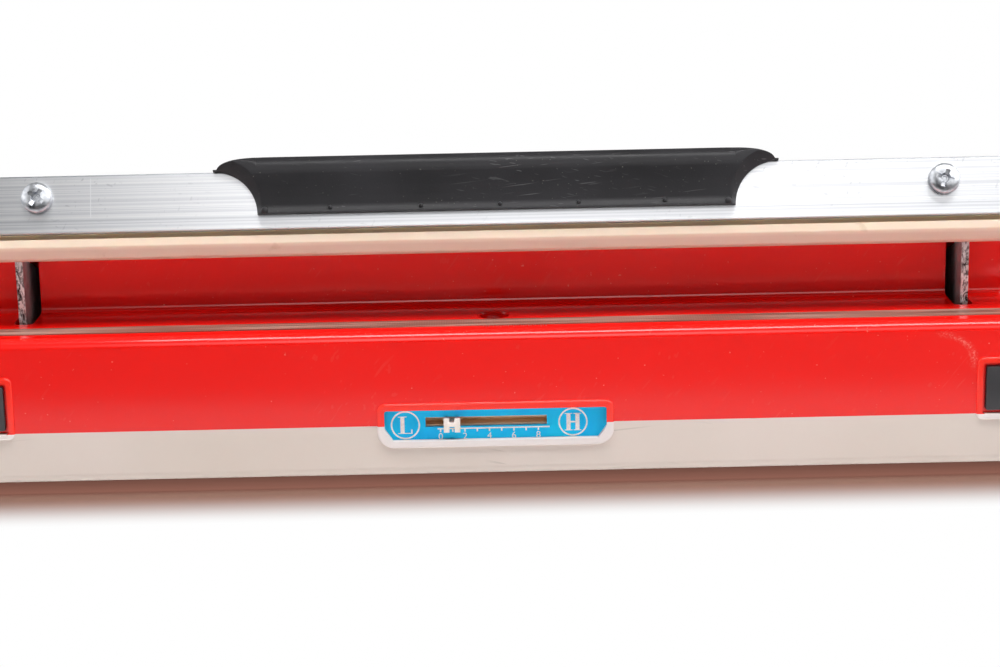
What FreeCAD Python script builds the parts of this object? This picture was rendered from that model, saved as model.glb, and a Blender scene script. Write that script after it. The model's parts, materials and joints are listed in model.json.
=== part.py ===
import FreeCAD, Part
import math
import os

os.makedirs("parts", exist_ok=True)
Vector = FreeCAD.Vector

# Body, in millimetres: X runs along the seal, Y to the rear, Z up, origin under the middle of the footprint
body_length = 400.0
body_depth = 90.0
foot_height = 3.9
base_height = 16.0
front_height = 28.9
hump_height = 26.2
hump_fall = 6.0
deck_depth = 36.0
shell_wall = 2.5
base_floor = 2.5
frame_proud = 0.8
frame_ease = 0.7
plan_round = 6.0
edge_round = 3.0
least_round = 0.75
step_round = 2.0
crest_round = 5.0
rear_round = 12.0
base_round = 3.0
lip_wall = 1.2
lip_height = 2.0
lip_root = 3.0
fit_gap = 0.15
overcut = 1.0
full_round = 0.98
same_point = 1e-6

# Feet and case screws
foot_radius = 7.0
foot_taper = 0.8
foot_inset_x = 35.0
foot_inset_y = 12.0
boss_radius = 4.0
boss_inset_x = 18.0
boss_inset_y = 12.0
boss_rear_inset = 9.0
middle_boss_share = 0.55
screw_radius = 1.5
screw_hole_gap = 0.1
screw_head_radius = 2.8
screw_head_height = 2.0
screw_bite = 12.0
screw_fill = 0.8
blind_share = 0.75
dome_rim = 0.45
dome_shoulder_reach = 0.78
dome_shoulder_rise = 0.86
dome_flat = 0.3

# Heater on the deck
strip_setback = 6.7
strip_width = 8.0
strip_thickness = 0.25
strip_inset = 34.0
ribbon_width = 3.0
ribbon_thickness = 0.2
ribbon_inset = 4.0
bar_width = 6.5
bar_thickness = 2.8
bar_inset = 2.0
heater_rib_width = 14.0
heater_rib_depth = 6.0
heater_rib_inset = 20.5
terminal_size = 10.0
terminal_height = 8.0
terminal_spring_radius = 2.6
terminal_spring_wire = 0.4
terminal_spring_length = 11.0
terminal_spring_turns = 5
terminal_stop_wall = 2.0
clamp_length = 14.0
clamp_width = 13.0
clamp_thickness = 1.0
clamp_overlap = 6.0
deck_hole_radius = 4.5
deck_hole_depth = 4.5
deck_hole_setback = 20.4
deck_hole_floor = 1.5
deck_hole_rim = 0.5

# Pressing arm, drawn closed and then swung open
open_angle = 19.0
pivot_inset = 14.2
pivot_rise = 22.1
press_gap = 0.15
channel_inset = 35.0
channel_width = 14.0
channel_height = 17.5
channel_wall = 2.0
channel_round = 0.4
groove_depth = 4.0
groove_lip = 1.2
pad_inset = 9.0
pad_neck = 1.7
pad_face = 2.4
pad_bevel = 3.1
pad_width = 12.0
pad_fit = 0.2
cap_thickness = 2.0
cap_tongue = 6.0
cap_fit = 0.2

# Handle grip
grip_length = 170.4
grip_shift = 1.7
grip_foot_length = 144.0
grip_crown = 4.6
grip_crown_run = 7.5
grip_crown_round = 8.0
grip_tip = 0.7
grip_lip_rise = 4.3
grip_lip_height = 1.4
grip_lip_proud = 3.0
grip_groove_proud = 2.0
grip_groove_rise = 2.6
grip_bulge_proud = 4.2
grip_rear_proud = 3.2
grip_rear_drop = 8.0
grip_round = 3.0
grip_edge_round = 0.8

# Levers, slots and pivots
lever_inset = 53.95
lever_thickness = 2.3
lever_gap = 0.4
lever_depth = 20.0
lever_boss_radius = 9.0
lever_bush_radius = 6.0
lever_neck_gap = 1.0
lever_neck_width = 5.0
lever_heel_rise = 2.5
lever_heel_setback = 9.2
lever_front_gap = 1.1
lever_round = 5.0
lever_flange = 22.0
slot_reach = 15.2
slot_rise = 21.7
slot_inner_gap = 3.1
slot_outer_gap = 0.6
slot_round = 2.0
pin_radius = 3.0
pin_head_radius = 4.5
pin_head_height = 2.0
pin_end = 2.2
running_gap = 0.05
ear_thickness = 2.0
ear_gap = 0.2
ear_radius = 8.0
bush_side = 1.2
bracket_plate = 2.0
bracket_reach = 7.5
bracket_pad = 3.0
clip_radius = 4.6
clip_thickness = 0.8
clip_mouth = 3.0
arm_screw_offset = 9.45
arm_screw_radius = 2.5
arm_screw_head_radius = 4.65
arm_screw_head_height = 3.4
arm_screw_end = 3.0
recess_span = 5.0
recess_width = 1.3
recess_depth = 2.0

# Return springs and micro switch under the levers
spring_offset = 8.0
spring_setback = 11.2
spring_radius = 4.0
spring_wire = 0.6
spring_turns = 6
spring_seat_rise = 1.0
spring_cup_radius = 7.0
spring_cup_height = 4.0
spring_cup_gap = 0.4
spring_top_gap = 0.3
coil_steps = 10
wire_sides = 6
tab_width = 12.0
tab_length = 13.3
switch_offset = 22.0
switch_tab_length = 27.0
switch_width = 6.4
switch_depth = 20.0
switch_height = 10.0
plunger_size = 3.0
plunger_stick = 2.0
plunger_seat = 2.0
plunger_travel = 1.0
plunger_gap = 0.2
touch_gap = 0.4

# Timer window
timer_frame_length = 71.5
timer_frame_height = 14.0
timer_border = 2.2
timer_top_round = 2.5
timer_foot_round = 5.0
timer_foot_run = 2.5
timer_foot_rise = 3.6
plate_setback = 1.2
plate_thickness = 1.0
plate_margin = 1.4
plate_gap = 0.2
dial_shift = -2.85
dial_slot_length = 36.7
dial_slot_height = 3.0
dial_slot_rise = 0.6
pot_length = 45.0
pot_height = 9.0
pot_depth = 6.5
pot_slot_height = 2.0
pot_slot_depth = 4.0
board_length = 84.0
board_height = 21.0
board_thickness = 1.6
board_post = 6.0
board_post_width = 5.0
board_grip = 2.0
board_gap = 0.1
knob_width = 5.0
knob_height = 4.4
knob_thickness = 1.6
knob_neck_width = 4.0
knob_stem_width = 1.6
knob_stem_height = 1.4
knob_notch_width = 1.6
knob_notch_height = 1.8
knob_head_notch = 1.3
knob_rest = -13.2

# Side windows: rocker switch on the right, indicator lamp on the left
side_window_inset = 54.95
side_border = 1.8
side_round = 2.0
bezel_length = 26.0
bezel_height = 13.8
bezel_thickness = 1.6
bezel_proud = 0.5
bezel_gap = 1.0
bezel_edge = 1.8
bezel_ease = 0.5
insert_depth = 19.0
rocker_opening_length = 17.2
rocker_opening_height = 10.2
rocker_opening_depth = 10.5
rocker_length = 15.6
rocker_height = 9.6
rocker_setback = 3.6
rocker_rim = 3.2
rocker_dip = 2.2
rocker_waist = 1.5
rocker_foot = 4.0
rocker_foot_length = 9.0
rocker_tilt = 8.0
trunnion_radius = 1.0
trunnion_length = 0.7
lens_gap = 0.2
lens_proud = 0.7
lens_depth = 3.0
lens_round = 2.0

# Transformer under the hump
core_length = 60.0
core_height = 50.0
winding_wall = 8.0
core_leg = 20.0
core_window_height = 30.0
core_window_length = 10.0
winding_gap = 0.3
winding_clear = 4.1
winding_round = 6.0
transformer_share = -0.3
strap_thickness = 1.2
strap_width = 16.0
strap_foot = 10.0

# Cord inlet in the rear wall
inlet_share = 0.45
inlet_rise = 12.0
inlet_flange_radius = 8.0
inlet_flange_thickness = 1.2
inlet_radius = 5.8
inlet_bore = 3.5
inlet_length = 10.0

# Places that follow from the sizes
half_length = body_length / 2
front_y = frame_proud - body_depth / 2
rear_y = body_depth / 2
wall_y = front_y + deck_depth
floor_z = foot_height + base_floor
seam_z = foot_height + base_height
deck_z = seam_z + front_height
crest_z = deck_z + hump_height
pivot_y = rear_y - pivot_inset
pivot_z = seam_z + pivot_rise
strip_y = front_y + strip_setback + strip_width / 2
strip_length = body_length - 2 * strip_inset
ribbon_length = strip_length - 2 * ribbon_inset
bar_length = ribbon_length - 2 * bar_inset
heater_rib_length = body_length - 2 * heater_rib_inset
deck_hole_y = front_y + deck_hole_setback
channel_length = body_length - 2 * channel_inset
pad_length = channel_length - 2 * pad_inset
channel_front = strip_y - channel_width / 2
channel_rear = strip_y + channel_width / 2
channel_bottom = deck_z + strip_thickness + press_gap + pad_neck + pad_face + pad_bevel
channel_top = channel_bottom + channel_height
chamber_low = channel_bottom + groove_depth + channel_wall
chamber_high = channel_top - channel_wall
lever_x = half_length - lever_inset
arm_screw_x = lever_x - arm_screw_offset
lever_inner = lever_x - lever_thickness / 2
lever_outer = lever_x + lever_thickness / 2
slot_front_y = wall_y - slot_reach
lever_foot_z = deck_z - lever_depth
spring_x = lever_x - spring_offset
spring_y = wall_y + spring_setback
switch_x = lever_x - switch_offset
board_y = front_y + plate_setback + plate_thickness + pot_depth
dial_z = seam_z + dial_slot_rise
ear_inner_x = lever_inner - bush_side - ear_gap
ear_outer_x = lever_outer + bush_side + ear_gap
rib_bottom = deck_z - heater_rib_depth
side_window_x = half_length - side_window_inset
transformer_x = half_length * transformer_share
transformer_y = (wall_y + rear_y) / 2
winding_depth = rear_y - wall_y - 2 * shell_wall - 2 * winding_clear
core_stack = winding_depth - 2 * winding_wall
inlet_x = half_length * inlet_share
middle_boss_x = half_length * middle_boss_share
boss_places = [
    (sign * x, y)
    for sign in (-1, 1)
    for x, y in (
        (half_length - boss_inset_x, front_y + boss_inset_y),
        (half_length - boss_inset_x, rear_y - boss_rear_inset),
        (middle_boss_x, rear_y - boss_rear_inset),
    )
]

AXES = {"x": Vector(1, 0, 0), "y": Vector(0, 1, 0), "z": Vector(0, 0, 1)}
ORIGIN = Vector(0, 0, 0)


def spot(axis, level, a, b):
    """Point at a level along an axis, with its two other coordinates in X, Y, Z order."""
    order = {"x": (level, a, b), "y": (a, level, b), "z": (a, b, level)}
    return Vector(*order[axis])


def outline(corners, axis, level):
    """Closed wire through corners (a, b, radius), each corner rounded by a tangent arc."""
    turns = []
    for index, (a, b, radius) in enumerate(corners):
        corner = Vector(a, b, 0)
        back = Vector(*corners[index - 1][:2], 0) - corner
        ahead = Vector(*corners[(index + 1) % len(corners)][:2], 0) - corner
        back.normalize()
        ahead.normalize()
        half = back.getAngle(ahead) / 2
        middle = (back + ahead).normalize()
        reach = radius / math.tan(half)
        rise = radius / math.sin(half) - radius
        turns.append((corner + back * reach, corner + middle * rise, corner + ahead * reach))
    placed = [[spot(axis, level, point.x, point.y) for point in turn] for turn in turns]
    edges = []
    for index, (start, middle, end) in enumerate(placed):
        following = placed[(index + 1) % len(placed)][0]
        if corners[index][2] > 0:
            edges.append(Part.Arc(start, middle, end).toShape())
        if (following - end).Length > same_point:
            edges.append(Part.LineSegment(end, following).toShape())
    return Part.Wire(edges)


def prism(corners, axis, low, high):
    """Solid of one rounded outline carried along an axis."""
    return Part.Face(outline(corners, axis, low)).extrude(AXES[axis] * (high - low))


def rectangle(a0, a1, b0, b1, radius=0.0):
    """Corners of a rectangle with equal rounds."""
    return [(a0, b0, radius), (a1, b0, radius), (a1, b1, radius), (a0, b1, radius)]


def block(x0, x1, y0, y1, z0, z1):
    """Plain block between two corners."""
    return Part.makeBox(x1 - x0, y1 - y0, z1 - z0, Vector(x0, y0, z0))


def rod(axis, low, high, a, b, radius):
    """Round bar along an axis, centred at its two other coordinates."""
    return Part.makeCylinder(radius, high - low, spot(axis, low, a, b), AXES[axis])


def fused(first, *others):
    """One solid out of touching shapes."""
    return first.fuse(list(others)).removeSplitter()


def mirrored(shape):
    """The same shape on the other end of the object."""
    return shape.mirror(ORIGIN, AXES["x"])


def both_ends(shape):
    """A piece and its mirror image, as separate solids."""
    return Part.makeCompound([shape, mirrored(shape)])


def opened(shape):
    """An arm piece swung from closed to its open rest."""
    turned = shape.copy()
    turned.rotate(Vector(0, pivot_y, pivot_z), AXES["x"], -open_angle)
    return turned


def opened_point(y, z):
    """Where a point of the closed arm lies at open rest."""
    turn = math.radians(open_angle)
    dy = y - pivot_y
    dz = z - pivot_z
    return (
        pivot_y + dy * math.cos(turn) + dz * math.sin(turn),
        pivot_z - dy * math.sin(turn) + dz * math.cos(turn),
    )


def coil(start, axis, radius, wire, turns, length):
    """Spring of drawn wire: a faceted section carried along a helix of short straight lengths."""
    across = AXES["y"] if axis == "x" else AXES["x"]
    upward = AXES[axis].cross(across)
    steps = turns * coil_steps
    bends = []
    for step in range(steps + 1):
        angle = 2 * math.pi * step / coil_steps
        ring = across * (radius * math.cos(angle)) + upward * (radius * math.sin(angle))
        bends.append(start + ring + AXES[axis] * (length * step / steps))
    along = (bends[1] - bends[0]).normalize()
    level = AXES[axis].cross(along).normalize()
    upright = along.cross(level)
    section = []
    for side in range(wire_sides + 1):
        angle = 2 * math.pi * side / wire_sides
        section.append(bends[0] + level * (wire * math.cos(angle)) + upright * (wire * math.sin(angle)))
    return Part.makePolygon(bends).makePipeShell([Part.makePolygon(section)], True, False, 1)


def body_plan(inset, z0, z1):
    """Plan of the case, drawn in by an inset, as a solid between two heights."""
    round_left = max(plan_round - inset, edge_round / 2)
    corners = rectangle(
        inset - half_length, half_length - inset, front_y + inset, rear_y - inset, round_left
    )
    return prism(corners, "z", z0, z1)


def case_profile(inset, bottom_z, x0, x1):
    """Side profile of the upper case: front wall, deck, step, rear wall, crest and falling back."""
    corners = [
        (front_y + inset, bottom_z, 0),
        (front_y + inset, deck_z - inset, max(edge_round - inset, least_round)),
        (wall_y + inset, deck_z - inset, step_round + inset),
        (wall_y + inset, crest_z - inset, crest_round - inset),
        (rear_y - inset, crest_z - hump_fall - inset, rear_round - inset),
        (rear_y - inset, bottom_z, 0),
    ]
    return prism(corners, "x", x0, x1)


def timer_outline():
    """Outline of the timer frame, with rounder lower corners."""
    x = timer_frame_length / 2
    z = timer_frame_height / 2
    return [
        (-x, seam_z - z, timer_foot_round), (x, seam_z - z, timer_foot_round),
        (x, seam_z + z, timer_top_round), (-x, seam_z + z, timer_top_round),
    ]


def timer_opening(inset):
    """Outline of the timer opening, drawn in by an inset, with its lower corners cut off."""
    x = timer_frame_length / 2 - inset
    z = timer_frame_height / 2 - inset
    low = seam_z - z
    top = max(timer_top_round - inset, least_round)
    return [
        (timer_foot_run - x, low, 0), (x - timer_foot_run, low, 0), (x, low + timer_foot_rise, 0),
        (x, seam_z + z, top), (-x, seam_z + z, top), (-x, low + timer_foot_rise, 0),
    ]


def side_rect(inset):
    """Outline of the right side window, drawn in by an inset, with the bezel seated on the seam."""
    opening = bezel_length + 2 * bezel_gap
    x0 = side_window_x + inset
    x1 = side_window_x + 2 * side_border + opening - inset
    z0 = seam_z - side_border + inset
    z1 = seam_z + bezel_height + 2 * bezel_gap + side_border - inset
    return rectangle(x0, x1, z0, z1, max(side_round - inset, least_round))


def eased(plate, face_y, ease):
    """Plate with the edges of its front face rounded over."""
    edges = [
        edge for edge in plate.Edges
        if all(abs(corner.Point.y - face_y) < same_point for corner in edge.Vertexes)
    ]
    return plate.makeFillet(ease, edges)


def window_frames():
    """The three raised frames as solid plates through the front wall, with eased front edges."""
    inner_y = front_y + shell_wall
    face_y = front_y - frame_proud
    timer = eased(prism(timer_outline(), "y", face_y, inner_y), face_y, frame_ease)
    side = eased(prism(side_rect(0), "y", face_y, inner_y), face_y, frame_ease)
    return fused(timer, side, mirrored(side))


def window_cuts():
    """Everything cut out of the front walls at the three windows."""
    outside = front_y - frame_proud - overcut
    bezel_seat = front_y - bezel_proud + bezel_thickness
    inner_y = front_y + shell_wall + overcut
    plate_pocket = timer_border - plate_margin - plate_gap
    timer = prism(timer_opening(timer_border), "y", outside, inner_y)
    pocket = prism(timer_opening(plate_pocket), "y", front_y + plate_setback, inner_y)
    bezel = prism(side_rect(side_border), "y", outside, bezel_seat)
    insert = prism(side_rect(side_border + bezel_edge), "y", outside, inner_y)
    return [timer, pocket, bezel, insert, mirrored(bezel), mirrored(insert)]


def upper_housing():
    """Red upper case: a shell with deck, step, hump, frames, lever slots and screw bosses."""
    outer = case_profile(0, seam_z, -half_length, half_length)
    ends = rectangle(-half_length, half_length, seam_z - crest_round, crest_z, crest_round)
    outer = outer.common(prism(ends, "y", front_y, rear_y))
    outer = outer.common(body_plan(0, seam_z, crest_z))
    deck_end = block(
        half_length - edge_round, half_length + overcut,
        front_y - overcut, wall_y, deck_z - edge_round, deck_z + overcut,
    )
    deck_end = deck_end.cut(
        rod("y", front_y - overcut, wall_y, half_length - edge_round, deck_z - edge_round, edge_round)
    )
    outer = outer.cut([deck_end, mirrored(deck_end)])
    cavity = case_profile(
        shell_wall, seam_z - overcut, shell_wall - half_length, half_length - shell_wall
    )
    cavity = cavity.common(body_plan(shell_wall, seam_z - overcut, crest_z))
    shell = outer.cut(cavity)
    above_seam = block(-half_length, half_length, front_y - frame_proud, rear_y, seam_z, crest_z)
    rib = block(
        -heater_rib_length / 2, heater_rib_length / 2,
        strip_y - heater_rib_width / 2, strip_y + heater_rib_width / 2,
        rib_bottom, deck_z - shell_wall / 2,
    )
    hole_boss = rod(
        "z", deck_z - deck_hole_depth - deck_hole_floor, deck_z - shell_wall / 2,
        0, deck_hole_y, deck_hole_radius + deck_hole_floor,
    )
    bosses = [rod("z", seam_z, crest_z, x, y, boss_radius) for x, y in boss_places]
    bosses = [boss.common(outer) for boss in bosses]
    stop_x = ribbon_length / 2 - terminal_size - terminal_spring_length
    stop = block(
        stop_x - terminal_stop_wall, stop_x, strip_y - terminal_size / 2, strip_y + terminal_size / 2,
        rib_bottom - terminal_height, deck_z - shell_wall / 2,
    )
    frames = window_frames().common(above_seam)
    shell = fused(shell, rib, hole_boss, frames, stop, mirrored(stop), *bosses)
    slot_width = lever_thickness + slot_inner_gap + slot_outer_gap
    slot_x0 = lever_inner - slot_inner_gap
    slot_x1 = slot_x0 + slot_width
    slot_rear_y = wall_y + shell_wall + overcut
    slot_bottom = deck_z - shell_wall - step_round - overcut
    slot_top = deck_z + slot_rise
    plan = [
        (slot_x0, slot_front_y, slot_round), (slot_x1, slot_front_y, slot_round),
        (slot_x1, slot_rear_y, 0), (slot_x0, slot_rear_y, 0),
    ]
    face = [
        (slot_x0, slot_bottom, 0), (slot_x1, slot_bottom, 0),
        (slot_x1, slot_top, slot_round), (slot_x0, slot_top, slot_round),
    ]
    slot = prism(plan, "z", slot_bottom, slot_top)
    slot = slot.common(prism(face, "y", slot_front_y, slot_rear_y))
    groove = block(
        -bar_length / 2 - fit_gap, bar_length / 2 + fit_gap,
        strip_y - bar_width / 2 - fit_gap, strip_y + bar_width / 2 + fit_gap,
        deck_z - bar_thickness - ribbon_thickness, deck_z + overcut,
    )
    leg_hole = block(
        bar_length / 2, ribbon_length / 2 + fit_gap,
        strip_y - ribbon_width / 2 - fit_gap, strip_y + ribbon_width / 2 + fit_gap,
        rib_bottom - overcut, deck_z + overcut,
    )
    deck_hole = rod("z", deck_z - deck_hole_depth, deck_z + overcut, 0, deck_hole_y, deck_hole_radius)
    deck_rim = Part.makeCone(
        deck_hole_radius, deck_hole_radius + deck_hole_rim, deck_hole_rim,
        Vector(0, deck_hole_y, deck_z - deck_hole_rim), AXES["z"],
    )
    deck_screw_hole = rod(
        "z", rib_bottom - overcut, deck_z, 0, deck_hole_y, screw_radius + screw_hole_gap
    )
    clamp_x = strip_length / 2 + clamp_length / 2 - clamp_overlap / 2
    clamp_hole = rod("z", rib_bottom, deck_z + overcut, clamp_x, strip_y, screw_radius + screw_hole_gap)
    boss_holes = [
        rod("z", seam_z - overcut, seam_z + screw_bite, x, y, screw_radius + screw_hole_gap)
        for x, y in boss_places
    ]
    inlet_z = seam_z + inlet_rise
    inlet = rod("y", rear_y - inlet_length, rear_y + overcut, inlet_x, inlet_z, inlet_radius + fit_gap)
    inlet_rim = rod(
        "y", rear_y - inlet_flange_thickness, rear_y + overcut,
        inlet_x, inlet_z, inlet_flange_radius + fit_gap,
    )
    cuts = [slot, mirrored(slot), groove, leg_hole, mirrored(leg_hole), deck_hole, deck_rim]
    cuts += [deck_screw_hole, clamp_hole, mirrored(clamp_hole), inlet, inlet_rim]
    return shell.cut(cuts + boss_holes + window_cuts())


def lower_base():
    """Off-white tray: floor, walls, seam lip, lower frame lips, posts, seats and pads."""
    side = [
        (front_y, foot_height, base_round), (rear_y, foot_height, base_round),
        (rear_y, seam_z, 0), (front_y, seam_z, 0),
    ]
    front = [
        (-half_length, foot_height, base_round), (half_length, foot_height, base_round),
        (half_length, seam_z, 0), (-half_length, seam_z, 0),
    ]
    tray = prism(side, "x", -half_length, half_length).common(prism(front, "y", front_y, rear_y))
    tray = tray.common(body_plan(0, foot_height, seam_z))
    tray = tray.cut(body_plan(shell_wall, floor_z, seam_z + overcut))
    lip_outer = shell_wall + fit_gap
    lip = body_plan(lip_outer, seam_z - lip_root, seam_z + lip_height)
    lip = lip.fuse(body_plan(shell_wall - fit_gap, seam_z - lip_root, seam_z))
    lip_core = body_plan(
        lip_outer + lip_wall, seam_z - lip_root - overcut, seam_z + lip_height + overcut
    )
    lip = lip.cut(lip_core)
    timer_half = board_length / 2 + board_post
    side_end = side_window_x + 2 * side_border + bezel_length + 2 * bezel_gap
    gaps = [
        block(-timer_half, timer_half, front_y, front_y + pot_depth, seam_z - lip_root, crest_z),
        block(side_window_x, side_end, front_y, front_y + pot_depth, seam_z - lip_root, crest_z),
        block(-side_end, -side_window_x, front_y, front_y + pot_depth, seam_z - lip_root, crest_z),
    ]
    boss_clear = [
        rod("z", seam_z, seam_z + lip_height, x, y, boss_radius + fit_gap) for x, y in boss_places
    ]
    lip = lip.cut([gap.cut(tray) for gap in gaps] + boss_clear)
    below_seam = block(-half_length, half_length, front_y - frame_proud, rear_y, foot_height, seam_z)
    frames = window_frames().common(below_seam)
    posts = [rod("z", floor_z - base_floor / 2, seam_z, x, y, boss_radius) for x, y in boss_places]
    post_top = deck_z - deck_hole_depth - deck_hole_floor
    posts.append(rod("z", floor_z - base_floor / 2, post_top, 0, deck_hole_y, boss_radius))
    pads = []
    for sign in (-1, 1):
        pad_x0 = ear_inner_x - ear_thickness - bracket_reach
        pad_x1 = ear_outer_x + ear_thickness + bracket_reach
        pad = block(
            pad_x0, pad_x1, pivot_y - ear_radius, pivot_y + ear_radius,
            floor_z - base_floor / 2, floor_z + bracket_pad,
        )
        cup_y = opened_point(spring_y, lever_foot_z)[0]
        cup = rod(
            "z", floor_z - base_floor / 2, floor_z + spring_cup_height, spring_x, cup_y, spring_cup_radius
        )
        cup = cup.cut(
            rod(
                "z", floor_z + spring_seat_rise, floor_z + spring_cup_height + overcut,
                spring_x, cup_y, spring_radius + spring_wire + spring_cup_gap,
            )
        )
        post_x = board_length / 2 - board_grip
        board_seat = block(
            post_x, post_x + board_post, board_y - board_post_width / 2,
            board_y + board_thickness + board_post_width / 2, floor_z - base_floor / 2, seam_z,
        )
        board_slot = block(
            post_x - overcut, board_length / 2 + board_gap, board_y - board_gap,
            board_y + board_thickness + board_gap, floor_z, seam_z + overcut,
        )
        group = [pad, cup, board_seat.cut(board_slot)]
        pads += group if sign > 0 else [mirrored(piece) for piece in group]
    switch_top = lever_foot_z - touch_gap - plunger_stick - switch_height
    pads.append(
        block(
            switch_x - switch_width / 2, switch_x + switch_width / 2,
            spring_y - switch_depth / 2, spring_y + switch_depth / 2, floor_z - base_floor / 2, switch_top,
        )
    )
    tray = fused(tray, lip, frames, *posts, *pads)
    bore = screw_radius + screw_hole_gap
    blind_z = floor_z - base_floor * blind_share
    holes = []
    for x, y in boss_places:
        holes.append(rod("z", foot_height - overcut, seam_z + overcut, x, y, bore))
        holes.append(
            rod(
                "z", foot_height - overcut, foot_height + screw_head_height,
                x, y, screw_head_radius + screw_hole_gap,
            )
        )
    holes.append(rod("z", post_top - screw_bite, post_top + overcut, 0, deck_hole_y, bore))
    holes += [
        rod("z", blind_z, floor_z + bracket_pad + overcut, x, pivot_y, bore)
        for x in bracket_screw_places()
    ]
    holes += [
        rod("z", blind_z, floor_z + overcut, x, transformer_y, bore) for x in strap_screw_places()
    ]
    return tray.cut(holes + window_cuts())


def pan_screw(
    x, y, z, axis, up, reach, radius=screw_radius, head=screw_head_radius, rise=screw_head_height
):
    """Pan-head screw: domed head seated at a point, shank carried the other way."""
    seat = Vector(head, 0, 0)
    rim = Vector(head, rise * dome_rim, 0)
    shoulder = Vector(head * dome_shoulder_reach, rise * dome_shoulder_rise, 0)
    flat = Vector(head * dome_flat, rise, 0)
    crown = Vector(0, rise, 0)
    edges = [
        Part.LineSegment(ORIGIN, seat).toShape(),
        Part.LineSegment(seat, rim).toShape(),
        Part.Arc(rim, shoulder, flat).toShape(),
        Part.LineSegment(flat, crown).toShape(),
        Part.LineSegment(crown, ORIGIN).toShape(),
    ]
    half = Part.Face(Part.Wire(edges))
    cap = half.revolve(ORIGIN, AXES["y"], 360)
    shank = Part.makeCylinder(radius, reach + rise / 4, Vector(0, -reach, 0), AXES["y"])
    screw = fused(cap, shank)
    direction = AXES[axis] * up
    screw.Placement = FreeCAD.Placement(Vector(x, y, z), FreeCAD.Rotation(AXES["y"], direction))
    return screw


def bracket_screw_places():
    """X of the two screws of each pivot bracket, right and left."""
    inner = ear_inner_x - ear_thickness - bracket_reach / 2
    outer = ear_outer_x + ear_thickness + bracket_reach / 2
    return [inner, outer, -inner, -outer]


def strap_screw_places():
    """X of the two screws through the feet of the transformer strap."""
    reach = core_length / 2 + strap_thickness + strap_foot / 2
    return [transformer_x - reach, transformer_x + reach]


def ptfe_strip():
    """Woven cover strip, flat on the deck over the ribbon."""
    return block(
        -strip_length / 2, strip_length / 2, strip_y - strip_width / 2, strip_y + strip_width / 2,
        deck_z, deck_z + strip_thickness,
    )


def heating_ribbon():
    """Flat resistance ribbon, its ends bent down under the heads of the terminal screws."""
    x = ribbon_length / 2
    t = ribbon_thickness
    tip_z = rib_bottom - terminal_height / 2 + screw_radius + screw_hole_gap
    corners = [
        (-x, deck_z, 0), (-x, tip_z, 0), (t - x, tip_z, 0), (t - x, deck_z - t, 0),
        (x - t, deck_z - t, 0), (x - t, tip_z, 0), (x, tip_z, 0), (x, deck_z, 0),
    ]
    return prism(corners, "y", strip_y - ribbon_width / 2, strip_y + ribbon_width / 2)


def insulating_bar():
    """Laminate bar that backs the ribbon, sunk in the deck."""
    top = deck_z - ribbon_thickness
    return block(
        -bar_length / 2, bar_length / 2, strip_y - bar_width / 2, strip_y + bar_width / 2,
        top - bar_thickness, top,
    )


def terminal_blocks():
    """Brass block at each ribbon leg, under the heater rib."""
    x1 = ribbon_length / 2 - ribbon_thickness
    brass = block(
        x1 - terminal_size, x1, strip_y - terminal_size / 2, strip_y + terminal_size / 2,
        rib_bottom - terminal_height, rib_bottom,
    )
    z = rib_bottom - terminal_height / 2
    brass = brass.cut(rod("x", x1 - terminal_size, x1, strip_y, z, screw_radius + screw_hole_gap))
    return both_ends(brass)


def terminal_screws():
    """Screw that clamps each ribbon leg to its block."""
    z = rib_bottom - terminal_height / 2
    screw = pan_screw(ribbon_length / 2, strip_y, z, "x", 1, terminal_size * screw_fill)
    return both_ends(screw)


def terminal_springs():
    """Spring that pushes each terminal outwards and keeps the ribbon tight."""
    wire = terminal_spring_wire
    x0 = ribbon_length / 2 - ribbon_thickness - terminal_size - terminal_spring_length
    start = Vector(x0 + ribbon_thickness + wire, strip_y, rib_bottom - terminal_height / 2)
    length = terminal_spring_length - ribbon_thickness - 2 * wire
    spring = coil(start, "x", terminal_spring_radius, wire, terminal_spring_turns, length)
    return both_ends(spring)


def strip_clamps():
    """Steel plate over each end of the cover strip."""
    x0 = strip_length / 2 - clamp_overlap
    corners = rectangle(
        x0, x0 + clamp_length, strip_y - clamp_width / 2, strip_y + clamp_width / 2, edge_round / 2
    )
    z0 = deck_z + strip_thickness
    plate = prism(corners, "z", z0, z0 + clamp_thickness)
    clamp_x = strip_length / 2 + clamp_length / 2 - clamp_overlap / 2
    plate = plate.cut(rod("z", z0, z0 + clamp_thickness, clamp_x, strip_y, screw_radius + screw_hole_gap))
    return both_ends(plate)


def clamp_screws():
    """Screw through each strip clamp into the heater rib."""
    clamp_x = strip_length / 2 + clamp_length / 2 - clamp_overlap / 2
    z = deck_z + strip_thickness + clamp_thickness
    reach = clamp_thickness + strip_thickness + heater_rib_depth * screw_fill
    return both_ends(pan_screw(clamp_x, strip_y, z, "z", 1, reach))


def deck_screw():
    """Case screw in the round recess behind the strip."""
    z = deck_z - deck_hole_depth
    return pan_screw(0, deck_hole_y, z, "z", 1, deck_hole_floor + screw_bite * screw_fill)


def rubber_feet():
    """Four tapered rubber feet under the tray."""
    x = half_length - foot_inset_x
    places = [(sx * x, sy * (rear_y - foot_inset_y)) for sx in (-1, 1) for sy in (-1, 1)]
    small = foot_radius - foot_taper
    cones = [Part.makeCone(small, foot_radius, foot_height, Vector(a, b, 0)) for a, b in places]
    return Part.makeCompound(cones)


def base_screws():
    """Case screws, from below through the tray into the bosses of the upper case."""
    head_z = foot_height + screw_head_height
    reach = seam_z - head_z + screw_bite * screw_fill
    return Part.makeCompound([pan_screw(x, y, head_z, "z", -1, reach) for x, y in boss_places])


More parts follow.
